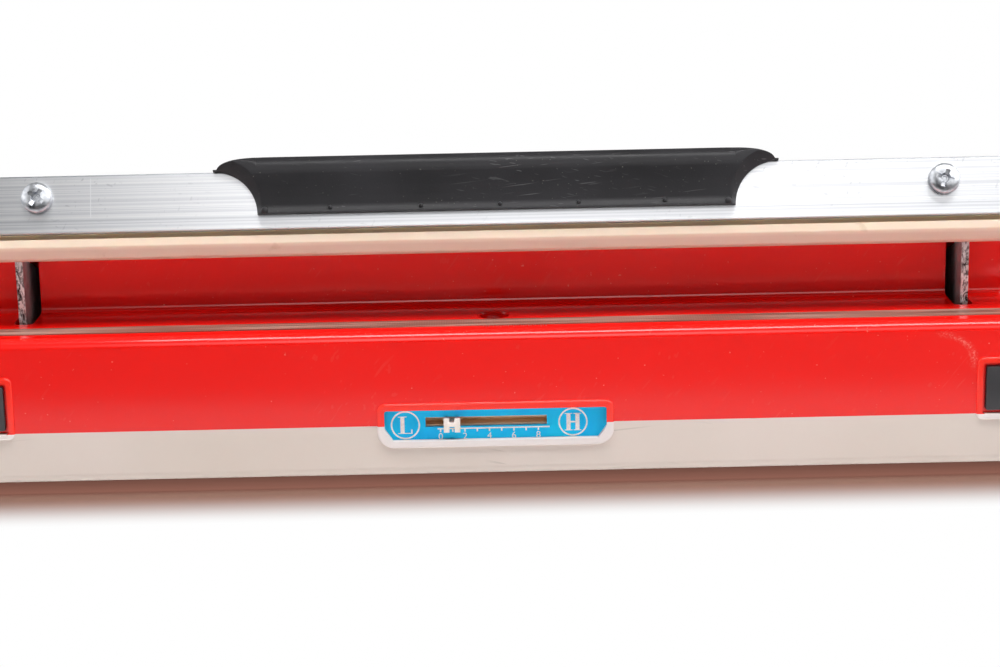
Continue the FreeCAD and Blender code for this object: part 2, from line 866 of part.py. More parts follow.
def pivot_bracket():
    """Right pivot bracket: a plate with two upright ears around the lever."""
    z0 = floor_z + bracket_pad
    x0 = ear_inner_x - ear_thickness - bracket_reach
    x1 = ear_outer_x + ear_thickness + bracket_reach
    plate = block(x0, x1, pivot_y - ear_radius, pivot_y + ear_radius, z0, z0 + bracket_plate)
    ear = [
        (pivot_y - ear_radius, z0, 0), (pivot_y + ear_radius, z0, 0),
        (pivot_y + ear_radius, pivot_z + ear_radius, ear_radius * full_round),
        (pivot_y - ear_radius, pivot_z + ear_radius, ear_radius * full_round),
    ]
    inner = prism(ear, "x", ear_inner_x - ear_thickness, ear_inner_x)
    outer = prism(ear, "x", ear_outer_x, ear_outer_x + ear_thickness)
    bracket = fused(plate, inner, outer)
    holes = [rod("x", x0, x1, pivot_y, pivot_z, pin_radius + running_gap)]
    holes += [
        rod("z", z0 - overcut, z0 + bracket_plate + overcut, x, pivot_y, screw_radius + screw_hole_gap)
        for x in bracket_screw_places()[:2]
    ]
    return bracket.cut(holes)


def pivot_pins():
    """Headed pin through the ears and the lever at each end."""
    head_x = ear_outer_x + ear_thickness
    tip_x = ear_inner_x - ear_thickness - pin_end
    pin = fused(
        rod("x", tip_x, head_x + pin_head_height / 2, pivot_y, pivot_z, pin_radius),
        rod("x", head_x, head_x + pin_head_height, pivot_y, pivot_z, pin_head_radius),
    )
    return both_ends(pin)


def pivot_clips():
    """Spring clip on the inner end of each pin, a ring with an open mouth."""
    x1 = ear_inner_x - ear_thickness - fit_gap
    x0 = x1 - clip_thickness
    ring = rod("x", x0, x1, pivot_y, pivot_z, clip_radius)
    ring = ring.cut(
        [
            rod("x", x0, x1, pivot_y, pivot_z, pin_radius + running_gap),
            block(
                x0, x1, pivot_y - clip_mouth / 2, pivot_y + clip_mouth / 2, pivot_z - clip_radius, pivot_z
            ),
        ]
    )
    return both_ends(ring)


def bracket_screws():
    """Two screws through each pivot bracket into the pads of the tray."""
    z = floor_z + bracket_pad + bracket_plate
    reach = bracket_plate + bracket_pad
    return Part.makeCompound([pan_screw(x, pivot_y, z, "z", 1, reach) for x in bracket_screw_places()])


def return_spring():
    """Right return spring, standing in its cup under the lever tab."""
    y, z = opened_point(spring_y, lever_foot_z)
    low = floor_z + spring_seat_rise + spring_wire
    outer = spring_radius + spring_wire
    high = z - outer * math.tan(math.radians(open_angle)) - spring_top_gap - spring_wire
    return coil(Vector(spring_x, y, low), "z", spring_radius, spring_wire, spring_turns, high - low)


def lever(length_of_tab):
    """Right lever: a cut plate from pivot boss to nose, flange for the channel, tab for the spring."""
    flange_y = channel_front + channel_wall
    nose_low = chamber_low + lever_gap
    nose_high = chamber_high - lever_gap
    neck_front = channel_rear + lever_neck_gap
    neck_rear = neck_front + lever_neck_width
    front_at_deck = slot_front_y + lever_front_gap
    rake = math.tan(math.radians(open_angle))
    meet_z = deck_z + (front_at_deck - neck_front) / rake
    toe_y = front_at_deck + lever_depth * rake
    heel_y = front_at_deck + lever_heel_setback
    corners = [
        (flange_y, nose_low, 0),
        (neck_front, nose_low, lever_neck_gap),
        (neck_front, meet_z, lever_round / 2),
        (toe_y, lever_foot_z, lever_round),
        (spring_y + tab_width, lever_foot_z, lever_round),
        (pivot_y, pivot_z - lever_boss_radius, 0),
        (pivot_y, pivot_z + lever_boss_radius, 0),
        (heel_y, deck_z + lever_heel_rise, lever_round),
        (neck_rear, nose_low + lever_heel_rise, lever_round / 2),
        (neck_rear, nose_high, lever_gap),
        (flange_y, nose_high, 0),
    ]
    plate = prism(corners, "x", lever_inner, lever_outer)
    boss = rod("x", lever_inner, lever_outer, pivot_y, pivot_z, lever_boss_radius)
    bush = rod("x", lever_inner - bush_side, lever_outer + bush_side, pivot_y, pivot_z, lever_bush_radius)
    flange = block(
        lever_outer - lever_flange, lever_outer, flange_y, flange_y + lever_thickness, nose_low, nose_high
    )
    tab = block(
        lever_inner - length_of_tab, lever_x, spring_y - tab_width / 2, spring_y + tab_width / 2,
        lever_foot_z, lever_foot_z + lever_thickness,
    )
    shape = fused(plate, boss, bush, flange, tab)
    screw_z = (chamber_low + chamber_high) / 2
    pin_hole = rod(
        "x", lever_inner - lever_flange, lever_outer + lever_flange,
        pivot_y, pivot_z, pin_radius + running_gap,
    )
    screw_hole = rod(
        "y", flange_y - overcut, flange_y + lever_thickness + overcut,
        arm_screw_x, screw_z, arm_screw_radius + screw_hole_gap,
    )
    return shape.cut([pin_hole, screw_hole])


def arm_channel():
    """Drawn aluminium channel: open to the rear above, grooved for the pad below."""
    f = channel_front
    r = channel_rear
    b = channel_bottom
    w = channel_wall
    lip = channel_wall + groove_lip
    corners = [
        (f, b, channel_round), (f, channel_top, channel_round), (r, channel_top, channel_round),
        (r, chamber_high, 0), (f + w, chamber_high, 0), (f + w, chamber_low, 0), (r, chamber_low, 0),
        (r, b, channel_round), (r - lip, b, 0), (r - lip, b + groove_lip, 0), (r - w, b + groove_lip, 0),
        (r - w, b + groove_depth, 0), (f + w, b + groove_depth, 0), (f + w, b + groove_lip, 0),
        (f + lip, b + groove_lip, 0), (f + lip, b, 0),
    ]
    bar = prism(corners, "x", -channel_length / 2, channel_length / 2)
    z = (chamber_low + chamber_high) / 2
    hole = rod("y", f - overcut, f + w + overcut, arm_screw_x, z, arm_screw_radius + screw_hole_gap)
    return bar.cut([hole, mirrored(hole)])


def silicone_pad():
    """Silicone bar: root held in the groove, narrow neck, bevelled pressing face."""
    root = channel_width / 2 - channel_wall - pad_fit
    neck = root - groove_lip
    half = pad_width / 2
    b = channel_bottom
    y = strip_y
    corners = [
        (y - half, b - pad_neck, 0), (y - neck, b - pad_neck, 0), (y - neck, b + groove_lip + pad_fit, 0),
        (y - root, b + groove_lip + pad_fit, 0), (y - root, b + groove_depth - pad_fit, 0),
        (y + root, b + groove_depth - pad_fit, 0), (y + root, b + groove_lip + pad_fit, 0),
        (y + neck, b + groove_lip + pad_fit, 0), (y + neck, b - pad_neck, 0), (y + half, b - pad_neck, 0),
        (y + half, b - pad_neck - pad_face, least_round),
        (y + half - pad_bevel, b - pad_neck - pad_face - pad_bevel, least_round),
        (y - half + pad_bevel, b - pad_neck - pad_face - pad_bevel, least_round),
        (y - half, b - pad_neck - pad_face, least_round),
    ]
    return prism(corners, "x", -pad_length / 2, pad_length / 2)


def handle_grip():
    """Moulded saddle over the channel: finger groove, lip, crowned top and coved ends with thin tips."""
    f = channel_front
    r = channel_rear
    t = channel_top
    lip_z = channel_bottom + grip_lip_rise
    rear_z = t - grip_rear_drop
    section = [
        (f, lip_z, 0), (f - grip_lip_proud, lip_z, grip_edge_round),
        (f - grip_lip_proud, lip_z + grip_lip_height, grip_edge_round),
        (f - grip_groove_proud, lip_z + grip_groove_rise, grip_edge_round),
        (f - grip_bulge_proud, t, grip_round),
        (f - grip_edge_round, t + grip_crown, grip_round),
        (r + grip_edge_round, t + grip_crown, grip_round),
        (r + grip_rear_proud, t, grip_round), (r + grip_rear_proud, rear_z, grip_edge_round),
        (r, rear_z, 0), (r, t, 0), (f, t, 0),
    ]
    tip = grip_length / 2
    foot = grip_foot_length / 2
    crown = tip - grip_crown_run
    cove = min(t - lip_z, tip - foot) * full_round
    front = [
        (foot, lip_z, 0), (foot, t, cove), (tip, t, 0), (tip, t + grip_tip, 0),
        (crown, t + grip_crown, grip_crown_round), (-crown, t + grip_crown, grip_crown_round),
        (-tip, t + grip_tip, 0), (-tip, t, 0), (-foot, t, cove), (-foot, lip_z, 0),
    ]
    y0 = f - grip_bulge_proud - overcut
    y1 = r + grip_rear_proud + overcut
    grip = prism(section, "x", -tip, tip).common(prism(front, "y", y0, y1))
    return grip.translated(Vector(grip_shift, 0, 0))


def arm_screws():
    """Cross-recess pan screws through the channel into the lever flanges."""
    z = (chamber_low + chamber_high) / 2
    reach = channel_wall + lever_thickness + arm_screw_end
    screw = pan_screw(
        arm_screw_x, channel_front, z, "y", -1, reach,
        arm_screw_radius, arm_screw_head_radius, arm_screw_head_height,
    )
    y0 = channel_front - arm_screw_head_height - overcut
    y1 = channel_front - arm_screw_head_height + recess_depth
    wide = recess_span / 2
    thin = recess_width / 2
    cross = fused(
        block(arm_screw_x - wide, arm_screw_x + wide, y0, y1, z - thin, z + thin),
        block(arm_screw_x - thin, arm_screw_x + thin, y0, y1, z - wide, z + wide),
    )
    return both_ends(screw.cut(cross))


def arm_end_caps():
    """Moulded plug in each end of the channel."""
    x0 = channel_length / 2
    corners = rectangle(channel_front, channel_rear, channel_bottom, channel_top, channel_round)
    plate = prism(corners, "x", x0, x0 + cap_thickness)
    tongue = block(
        x0 - cap_tongue, x0 + cap_thickness / 2, channel_front + channel_wall + cap_fit, channel_rear,
        chamber_low + cap_fit, chamber_high - cap_fit,
    )
    return both_ends(fused(plate, tongue))


def transformer_core():
    """Laminated core with two windows either side of the middle leg."""
    x = transformer_x
    y = transformer_y
    low = y - core_stack / 2
    high = y + core_stack / 2
    mid_z = floor_z + core_height / 2
    core = block(x - core_length / 2, x + core_length / 2, low, high, floor_z, floor_z + core_height)
    window = block(
        x + core_leg / 2, x + core_leg / 2 + core_window_length, low - overcut, high + overcut,
        mid_z - core_window_height / 2, mid_z + core_window_height / 2,
    )
    other = window.translated(Vector(-core_leg - core_window_length, 0, 0))
    return core.cut([window, other])


def transformer_winding():
    """Winding around the middle leg, filling both windows."""
    x = transformer_x
    y = transformer_y
    reach = core_leg / 2 + core_window_length - winding_gap
    mid_z = floor_z + core_height / 2
    z0 = mid_z - core_window_height / 2 + winding_gap
    z1 = mid_z + core_window_height / 2 - winding_gap
    outer = rectangle(x - reach, x + reach, y - winding_depth / 2, y + winding_depth / 2, winding_round)
    inner_x = core_leg / 2 + winding_gap
    inner_y = core_stack / 2 + winding_gap
    inner = rectangle(x - inner_x, x + inner_x, y - inner_y, y + inner_y)
    return prism(outer, "z", z0, z1).cut(prism(inner, "z", z0, z1))


def transformer_strap():
    """Steel strap over the core, with a foot on the tray at each side."""
    x = transformer_x
    y = transformer_y
    t = strap_thickness
    half = core_length / 2
    top = floor_z + core_height
    toe = half + t + strap_foot
    corners = [
        (x - toe, floor_z, 0), (x - half, floor_z, 0), (x - half, top, 0), (x + half, top, 0),
        (x + half, floor_z, 0), (x + toe, floor_z, 0), (x + toe, floor_z + t, 0),
        (x + half + t, floor_z + t, 0), (x + half + t, top + t, t), (x - half - t, top + t, t),
        (x - half - t, floor_z + t, 0), (x - toe, floor_z + t, 0),
    ]
    strap = prism(corners, "y", y - strap_width / 2, y + strap_width / 2)
    bore = screw_radius + screw_hole_gap
    holes = [rod("z", floor_z, floor_z + t, a, y, bore) for a in strap_screw_places()]
    return strap.cut(holes)


def strap_screws():
    """Screw through each foot of the strap into the floor of the tray."""
    z = floor_z + strap_thickness
    reach = strap_thickness + base_floor * blind_share * screw_fill
    screws = [pan_screw(a, transformer_y, z, "z", 1, reach) for a in strap_screw_places()]
    return Part.makeCompound(screws)


def timer_scale_plate():
    """Scale plate behind the timer window, with the slot for the knob."""
    y0 = front_y + plate_setback
    plate = prism(timer_opening(timer_border - plate_margin), "y", y0, y0 + plate_thickness)
    half = dial_slot_length / 2
    slot = rectangle(
        dial_shift - half, dial_shift + half, dial_z - dial_slot_height / 2, dial_z + dial_slot_height / 2
    )
    return plate.cut(prism(slot, "y", y0 - overcut, y0 + plate_thickness + overcut))


def slide_potentiometer():
    """Slide resistor behind the plate, with the groove its stem runs in."""
    y0 = front_y + plate_setback + plate_thickness
    half = pot_length / 2
    body = block(
        dial_shift - half, dial_shift + half, y0, board_y, dial_z - pot_height / 2, dial_z + pot_height / 2
    )
    slot = dial_slot_length / 2
    return body.cut(
        block(
            dial_shift - slot, dial_shift + slot, y0, y0 + pot_slot_depth,
            dial_z - pot_slot_height / 2, dial_z + pot_slot_height / 2,
        )
    )


def timer_circuit_board():
    """Circuit board standing in the slots of two posts."""
    return block(
        -board_length / 2, board_length / 2, board_y, board_y + board_thickness,
        floor_z, floor_z + board_height,
    )


def timer_knob():
    """Slider knob: H-shaped head in front of the plate, neck through the slot, stem in the resistor."""
    y_plate = front_y + plate_setback
    y1 = y_plate - plate_gap
    y0 = y1 - knob_thickness
    half = knob_width / 2
    high = dial_z + dial_slot_height / 2
    low = high - knob_height
    notch = knob_notch_width / 2
    corners = [
        (knob_rest - half, low, 0), (knob_rest - notch, low, 0),
        (knob_rest - notch, low + knob_notch_height, 0), (knob_rest + notch, low + knob_notch_height, 0),
        (knob_rest + notch, low, 0), (knob_rest + half, low, 0),
        (knob_rest + half, high, plate_gap), (knob_rest + notch, high, 0),
        (knob_rest + notch, high - knob_head_notch, 0), (knob_rest - notch, high - knob_head_notch, 0),
        (knob_rest - notch, high, 0), (knob_rest - half, high, plate_gap),
    ]
    head = prism(corners, "y", y0, y1)
    y2 = y_plate + plate_thickness
    neck = block(
        knob_rest - knob_neck_width / 2, knob_rest + knob_neck_width / 2, y1, y2,
        low + knob_notch_height, high - knob_head_notch,
    )
    stem = block(
        knob_rest - knob_stem_width / 2, knob_rest + knob_stem_width / 2,
        y2, y2 + pot_slot_depth - plate_gap,
        dial_z - knob_stem_height / 2, dial_z + knob_stem_height / 2,
    )
    return fused(head, neck, stem)


def micro_switch():
    """Micro switch on its pedestal, with a pocket for the plunger."""
    top = lever_foot_z - touch_gap - plunger_stick
    body = block(
        switch_x - switch_width / 2, switch_x + switch_width / 2,
        spring_y - switch_depth / 2, spring_y + switch_depth / 2, top - switch_height, top,
    )
    half = plunger_size / 2 + plunger_gap
    pocket = block(
        switch_x - half, switch_x + half, spring_y - half, spring_y + half,
        top - plunger_seat - plunger_travel - plunger_gap, top + overcut,
    )
    return body.cut(pocket)


def micro_switch_plunger():
    """Plunger of the micro switch."""
    top = lever_foot_z - touch_gap
    half = plunger_size / 2
    return block(
        switch_x - half, switch_x + half, spring_y - half, spring_y + half,
        top - plunger_stick - plunger_seat, top,
    )


def bezel_insert(depth):
    """Right window insert: bezel on its seat and the body behind the wall, with a front pocket."""
    y0 = front_y - bezel_proud
    y1 = y0 + bezel_thickness
    bezel = eased(prism(side_rect(side_border + bezel_gap), "y", y0, y1), y0, bezel_ease)
    body = prism(side_rect(side_border + bezel_edge + fit_gap), "y", y1, y0 + insert_depth)
    x, z = insert_middle()
    pocket = rectangle(
        x - rocker_opening_length / 2, x + rocker_opening_length / 2,
        z - rocker_opening_height / 2, z + rocker_opening_height / 2, lens_gap,
    )
    return fused(bezel, body).cut(prism(pocket, "y", y0 - overcut, y0 + depth))


def insert_middle():
    """Middle of the right side window."""
    x = side_window_x + side_border + bezel_gap + bezel_length / 2
    return x, seam_z + bezel_gap + bezel_height / 2


def rocker_switch_body():
    """Rocker switch body, with sockets for the trunnions of its button."""
    x, z = insert_middle()
    reach = rocker_height / 2 + trunnion_length + fit_gap
    socket = rod("z", z - reach, z + reach, x, front_y + rocker_setback, trunnion_radius + running_gap)
    return bezel_insert(rocker_opening_depth).cut(socket)


def rocker_button():
    """Rocker button at rest in its off tilt: dished face, tapered back, two trunnions."""
    x, z = insert_middle()
    y = front_y + rocker_setback
    half = rocker_length / 2
    foot = rocker_foot_length / 2
    corners = [
        (x - half, y - rocker_rim, lens_gap), (x, y - rocker_dip, rocker_length),
        (x + half, y - rocker_rim, lens_gap), (x + half, y + rocker_waist, 0),
        (x + foot, y + rocker_foot, 0), (x - foot, y + rocker_foot, 0), (x - half, y + rocker_waist, 0),
    ]
    button = prism(corners, "z", z - rocker_height / 2, z + rocker_height / 2)
    reach = rocker_height / 2 + trunnion_length
    button = fused(button, rod("z", z - reach, z + reach, x, y, trunnion_radius))
    button.rotate(Vector(x, y, z), AXES["z"], -rocker_tilt)
    return button


def indicator_lamp_body():
    """Lamp body in the left window."""
    return mirrored(bezel_insert(lens_depth + lens_proud))


def indicator_lamp_lens():
    """Lens of the lamp, a rounded block seated in its pocket."""
    x, z = insert_middle()
    a = rocker_opening_length / 2 - lens_gap
    b = rocker_opening_height / 2 - lens_gap
    y1 = front_y - bezel_proud + lens_depth + lens_proud
    y0 = front_y - lens_proud
    level = [(x - a, y1, 0), (x + a, y1, 0), (x + a, y0, lens_round), (x - a, y0, lens_round)]
    upright = [(y1, z - b, 0), (y0, z - b, lens_round), (y0, z + b, lens_round), (y1, z + b, 0)]
    lens = prism(level, "z", z - b, z + b).common(prism(upright, "x", x - a, x + a))
    return mirrored(lens)


def cord_inlet_bush():
    """Flanged bush, flush in the rear wall, that the supply cord passes through."""
    z = seam_z + inlet_rise
    bush = fused(
        rod("y", rear_y - inlet_flange_thickness, rear_y, inlet_x, z, inlet_flange_radius),
        rod("y", rear_y - inlet_length, rear_y, inlet_x, z, inlet_radius),
    )
    return bush.cut(rod("y", rear_y - inlet_length, rear_y, inlet_x, z, inlet_bore))


still_pieces = {
    "upper_housing": upper_housing(),
    "lower_base": lower_base(),
    "rubber_feet": rubber_feet(),
    "base_screws": base_screws(),
    "deck_screw": deck_screw(),
    "ptfe_strip": ptfe_strip(),
    "heating_ribbon": heating_ribbon(),
    "insulating_bar": insulating_bar(),
    "terminal_blocks": terminal_blocks(),
    "terminal_screws": terminal_screws(),
    "terminal_springs": terminal_springs(),
    "strip_clamps": strip_clamps(),
    "clamp_screws": clamp_screws(),
    "right_pivot_bracket": pivot_bracket(),
    "left_pivot_bracket": mirrored(pivot_bracket()),
    "pivot_pins": pivot_pins(),
    "pivot_clips": pivot_clips(),
    "bracket_screws": bracket_screws(),
    "right_return_spring": return_spring(),
    "left_return_spring": mirrored(return_spring()),
    "transformer_core": transformer_core(),
    "transformer_winding": transformer_winding(),
    "transformer_strap": transformer_strap(),
    "strap_screws": strap_screws(),
    "timer_scale_plate": timer_scale_plate(),
    "timer_circuit_board": timer_circuit_board(),
    "slide_potentiometer": slide_potentiometer(),
    "timer_knob": timer_knob(),
    "micro_switch": micro_switch(),
    "micro_switch_plunger": micro_switch_plunger(),
    "rocker_switch_body": rocker_switch_body(),
    "rocker_button": rocker_button(),
    "indicator_lamp_body": indicator_lamp_body(),
    "indicator_lamp_lens": indicator_lamp_lens(),
    "cord_inlet_bush": cord_inlet_bush(),
}
arm_pieces = {
    "arm_channel": arm_channel(),
    "silicone_pad": silicone_pad(),
    "handle_grip": handle_grip(),
    "right_lever": lever(switch_tab_length),
    "left_lever": mirrored(lever(tab_length)),
    "arm_screws": arm_screws(),
    "arm_end_caps": arm_end_caps(),
}
for name, shape in still_pieces.items():
    shape.exportStep("parts/" + name + ".step")
for name, shape in arm_pieces.items():
    opened(shape).exportStep("parts/" + name + ".step")
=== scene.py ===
import json
import math

import bmesh
import bpy
import numpy as np
from mathutils import Matrix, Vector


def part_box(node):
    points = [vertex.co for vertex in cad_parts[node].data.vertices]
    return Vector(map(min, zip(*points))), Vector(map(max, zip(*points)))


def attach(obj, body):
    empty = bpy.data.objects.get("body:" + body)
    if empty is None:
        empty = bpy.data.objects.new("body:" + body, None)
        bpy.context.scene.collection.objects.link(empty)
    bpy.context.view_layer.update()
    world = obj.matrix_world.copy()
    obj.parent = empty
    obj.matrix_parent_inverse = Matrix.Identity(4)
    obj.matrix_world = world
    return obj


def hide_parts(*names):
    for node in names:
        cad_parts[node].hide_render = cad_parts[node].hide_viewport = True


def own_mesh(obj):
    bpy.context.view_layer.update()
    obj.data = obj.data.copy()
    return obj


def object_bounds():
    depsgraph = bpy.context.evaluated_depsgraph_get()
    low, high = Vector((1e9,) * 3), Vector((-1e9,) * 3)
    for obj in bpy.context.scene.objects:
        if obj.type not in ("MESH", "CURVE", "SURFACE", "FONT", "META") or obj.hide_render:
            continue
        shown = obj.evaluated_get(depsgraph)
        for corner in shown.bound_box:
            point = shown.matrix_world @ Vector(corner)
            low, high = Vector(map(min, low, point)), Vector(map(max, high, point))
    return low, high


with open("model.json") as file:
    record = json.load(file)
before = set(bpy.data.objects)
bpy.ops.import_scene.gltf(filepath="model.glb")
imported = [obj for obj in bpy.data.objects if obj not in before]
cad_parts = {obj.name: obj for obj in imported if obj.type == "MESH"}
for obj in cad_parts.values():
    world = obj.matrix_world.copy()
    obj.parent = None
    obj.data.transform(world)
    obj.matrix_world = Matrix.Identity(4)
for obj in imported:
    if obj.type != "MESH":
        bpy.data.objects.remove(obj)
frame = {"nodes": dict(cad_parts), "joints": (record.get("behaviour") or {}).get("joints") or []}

cad_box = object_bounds()
nodes = frame["nodes"]
mm = 0.001


# Lower base
# The off-white tray that everything stands in, injection moulded in ABS with the lower lips of
# the three window frames; the upper case is screwed down on it from below.

def linear(tone):
    """Linear colour from a '#rrggbb' tone by the sRGB curve: c/12.92 near black, and above that
    ((c + 0.055)/1.055) to the power 2.4."""
    parts = np.array([int(tone[i:i + 2], 16) for i in (1, 3, 5)]) / 255
    curve = np.where(parts <= 0.04045, parts / 12.92, ((parts + 0.055) / 1.055) ** 2.4)
    return (*curve.tolist(), 1.0)


def grey(value):
    """Opaque grey of one linear value."""
    return (value, value, value, 1.0)


def put(tree, kind, values=(), **settings):
    """Adds one shader node: settings are its options, values its sockets, each a number, a link or
    a '#rrggbb' tone."""
    made = tree.nodes.new(kind)
    for name, value in settings.items():
        setattr(made, name, value)
    for socket, value in dict(values).items():
        if isinstance(value, bpy.types.NodeSocket):
            tree.links.new(value, made.inputs[socket])
        else:
            made.inputs[socket].default_value = linear(value) if isinstance(value, str) else value
    return made


def ramp(tree, factor, *stops):
    """Colour ramp over (place, colour) stops, each colour a '#rrggbb' tone or one grey value."""
    made = put(tree, "ShaderNodeValToRGB", {"Fac": factor})
    band = made.color_ramp
    while len(band.elements) < len(stops):
        band.elements.new(1.0)
    for element, (place, colour) in zip(band.elements, stops):
        element.position = place
        element.color = linear(colour) if isinstance(colour, str) else grey(colour)
    return made.outputs["Color"]


def calc(tree, operation, *values):
    """Arithmetic on one to three numbers or links."""
    return put(tree, "ShaderNodeMath", enumerate(values), operation=operation).outputs[0]


def blend(tree, share, first, second, kind="RGBA"):
    """Goes from a first colour to a second as the share grows, or between two values as FLOAT."""
    sockets = {"Factor": share, "A": first, "B": second}
    return put(tree, "ShaderNodeMix", sockets, data_type=kind).outputs["Result"]


def span(tree, value, start, end, first=0.0, last=1.0, curve="LINEAR"):
    """Carries a value from the range start to end over to first to last, held beyond its ends."""
    sockets = {"Value": value, "From Min": start, "From Max": end, "To Min": first, "To Max": last}
    return put(tree, "ShaderNodeMapRange", sockets, interpolation_type=curve).outputs[0]


def noise(tree, place, scale, **values):
    """Noise read at a place; values are the node's other sockets."""
    sockets = {"Vector": place, "Scale": scale, **values}
    return put(tree, "ShaderNodeTexNoise", sockets).outputs["Fac"]


def stretch(tree, place, scale):
    """A place with its axes scaled apart, for a grain that runs one way."""
    return put(tree, "ShaderNodeMapping", {"Vector": place, "Scale": scale}).outputs[0]


def axes(tree, place):
    """X, Y and Z of a place, by name."""
    return put(tree, "ShaderNodeSeparateXYZ", {"Vector": place}).outputs


def finish(name, **constants):
    """New material with one principled shader; constants go on the shader's own sockets."""
    material = bpy.data.materials.new(name)
    material.use_nodes = True
    tree = material.node_tree
    shader = tree.nodes["Principled BSDF"]
    for socket, value in constants.items():
        shader.inputs[socket.replace("_", " ")].default_value = value
    place = put(tree, "ShaderNodeTexCoord").outputs["Object"]
    return material, tree, shader, place


def wire_up(tree, shader, colour, roughness, height=None, depth=0.0, strength=0.0):
    """Links a colour, a roughness and a bump of some depth into a principled shader."""
    tree.links.new(colour, shader.inputs["Base Color"])
    tree.links.new(roughness, shader.inputs["Roughness"])
    if height is not None:
        sockets = {"Height": height, "Distance": depth, "Strength": strength}
        bump = put(tree, "ShaderNodeBump", sockets)
        tree.links.new(bump.outputs["Normal"], shader.inputs["Normal"])


def effect(name, inputs, outputs):
    """Empty shader node group that takes a place and named values, and gives named values: the
    group, the sockets it is given and the sockets it gives."""
    group = bpy.data.node_groups.new(name, "ShaderNodeTree")
    group.interface.new_socket("Vector", in_out="INPUT", socket_type="NodeSocketVector")
    for socket, value in inputs.items():
        made = group.interface.new_socket(socket, in_out="INPUT", socket_type="NodeSocketFloat")
        made.default_value = value
    for socket in outputs:
        group.interface.new_socket(socket, in_out="OUTPUT", socket_type="NodeSocketFloat")
    given = group.nodes.new("NodeGroupInput").outputs
    gives = group.nodes.new("NodeGroupOutput").inputs
    return group, given, gives


def use(tree, group, place, **values):
    """Places a shader node group in a material, read at a place, with its own values."""
    return put(tree, "ShaderNodeGroup", {"Vector": place, **values}, node_tree=group).outputs


def paint(material, *names):
    """Gives CAD nodes a material in their one slot."""
    for name in names:
        nodes[name].data.materials[0] = material


# Moulded skin: a fine peel in the surface, and a slow drift of tone from the flow of the melt.
moulded, given, gives = effect("Moulded Skin", {"Peel": 900.0, "Drift": 22.0}, ["Height", "Tone"])
moulded.links.new(noise(moulded, given["Vector"], given["Peel"]), gives["Height"])
moulded.links.new(noise(moulded, given["Vector"], given["Drift"]), gives["Tone"])

# Hairlines: two sets of long thin lines from stretched noise, kept where a broad noise is high.
hairlines, given, gives = effect("Hairlines", {"Fineness": 700.0, "Slant": 0.4}, ["Mask"])
lines = []
for turn in (1.0, -2.3):
    angle = calc(hairlines, "MULTIPLY", given["Slant"], turn)
    turned = put(hairlines, "ShaderNodeVectorRotate", {
        "Vector": given["Vector"], "Angle": angle, "Axis": (0.2, 1.0, 0.3)}).outputs[0]
    drawn = stretch(hairlines, turned, (0.02, 1.0, 1.0))
    fine = noise(hairlines, drawn, given["Fineness"], Detail=1.0)
    lines.append(ramp(hairlines, fine, (0.0, 0), (0.69, 0), (0.73, 1)))
broad = noise(hairlines, given["Vector"], 35.0)
kept = ramp(hairlines, broad, (0.0, 0), (0.45, 0), (0.65, 1))
mask = calc(hairlines, "MULTIPLY", calc(hairlines, "MAXIMUM", *lines), kept)
hairlines.links.new(mask, gives["Mask"])

lip_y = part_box("lower_base")[0][1]
white_abs, tree, shader, place = finish("white_abs", IOR=1.52)
skin = use(tree, moulded, place, Peel=1400.0, Drift=16.0)
marks = use(tree, hairlines, place, Fineness=500.0, Slant=0.1)["Mask"]
tone = ramp(tree, skin["Tone"], (0.3, "#DACDC2"), (0.7, "#E0D3CA"))
scuffed = blend(tree, marks, tone, "#C3B8AD")
# Painted highlight: the frontmost face, the proud lips of the window frames, is painted lighter
# where it catches the light.
lit_lip = span(tree, axes(tree, place)["Y"], lip_y + 0.5 * mm, lip_y + 0.75 * mm, 1.0, 0.0)
wire_up(tree, shader, blend(tree, lit_lip, scuffed, "#EBE2DF"),
        ramp(tree, skin["Tone"], (0.25, 0.34), (0.75, 0.44)), skin["Height"], 0.06 * mm, 0.15)
paint(white_abs, "lower_base")


# Feet and case screws
# Four tapered rubber feet are pressed on under the tray, and six zinc-plated pan screws come up
# through it; one more sits in the round recess of the deck.

foot_rubber, tree, shader, place = finish("foot_rubber")
skin = use(tree, moulded, place, Peel=2600.0, Drift=120.0)
wire_up(tree, shader, ramp(tree, skin["Tone"], (0.3, "#232223"), (0.7, "#353435")),
        ramp(tree, skin["Height"], (0.3, 0.62), (0.7, 0.8)), skin["Height"], 0.15 * mm, 0.5)
paint(foot_rubber, "rubber_feet")

# Plating: patches of brighter and duller metal, a broken sheen and small pits.
plating, given, gives = effect("Plating", {"Patch": 260.0}, ["Tone", "Height"])
patch = put(plating, "ShaderNodeTexVoronoi", {
    "Vector": given["Vector"], "Scale": given["Patch"]}, feature="SMOOTH_F1").outputs["Distance"]
haze = noise(plating, given["Vector"], 420.0, Detail=4.0)
plating.links.new(calc(plating, "MULTIPLY", patch, haze), gives["Tone"])
plating.links.new(haze, gives["Height"])

zinc_steel, tree, shader, place = finish("zinc_steel", Metallic=1.0)
plate = use(tree, plating, place, Patch=900.0)
wire_up(tree, shader, ramp(tree, plate["Tone"], (0.05, "#A4A7AD"), (0.35, "#CFD1D5")),
        ramp(tree, plate["Height"], (0.3, 0.26), (0.7, 0.42)), plate["Height"], 0.03 * mm, 0.2)
paint(zinc_steel, "base_screws", "deck_screw")


# Transformer
# A stack of silicon-steel laminations with the coil on its middle leg, taped and varnished, held
# to the tray by a folded steel strap and two screws.

def wave(tree, place, scale, direction, distortion=0.0):
    """Even bands across one direction, which waver by the distortion."""
    sockets = {"Vector": place, "Scale": scale, "Distortion": distortion}
    return put(tree, "ShaderNodeTexWave", sockets, bands_direction=direction).outputs["Fac"]


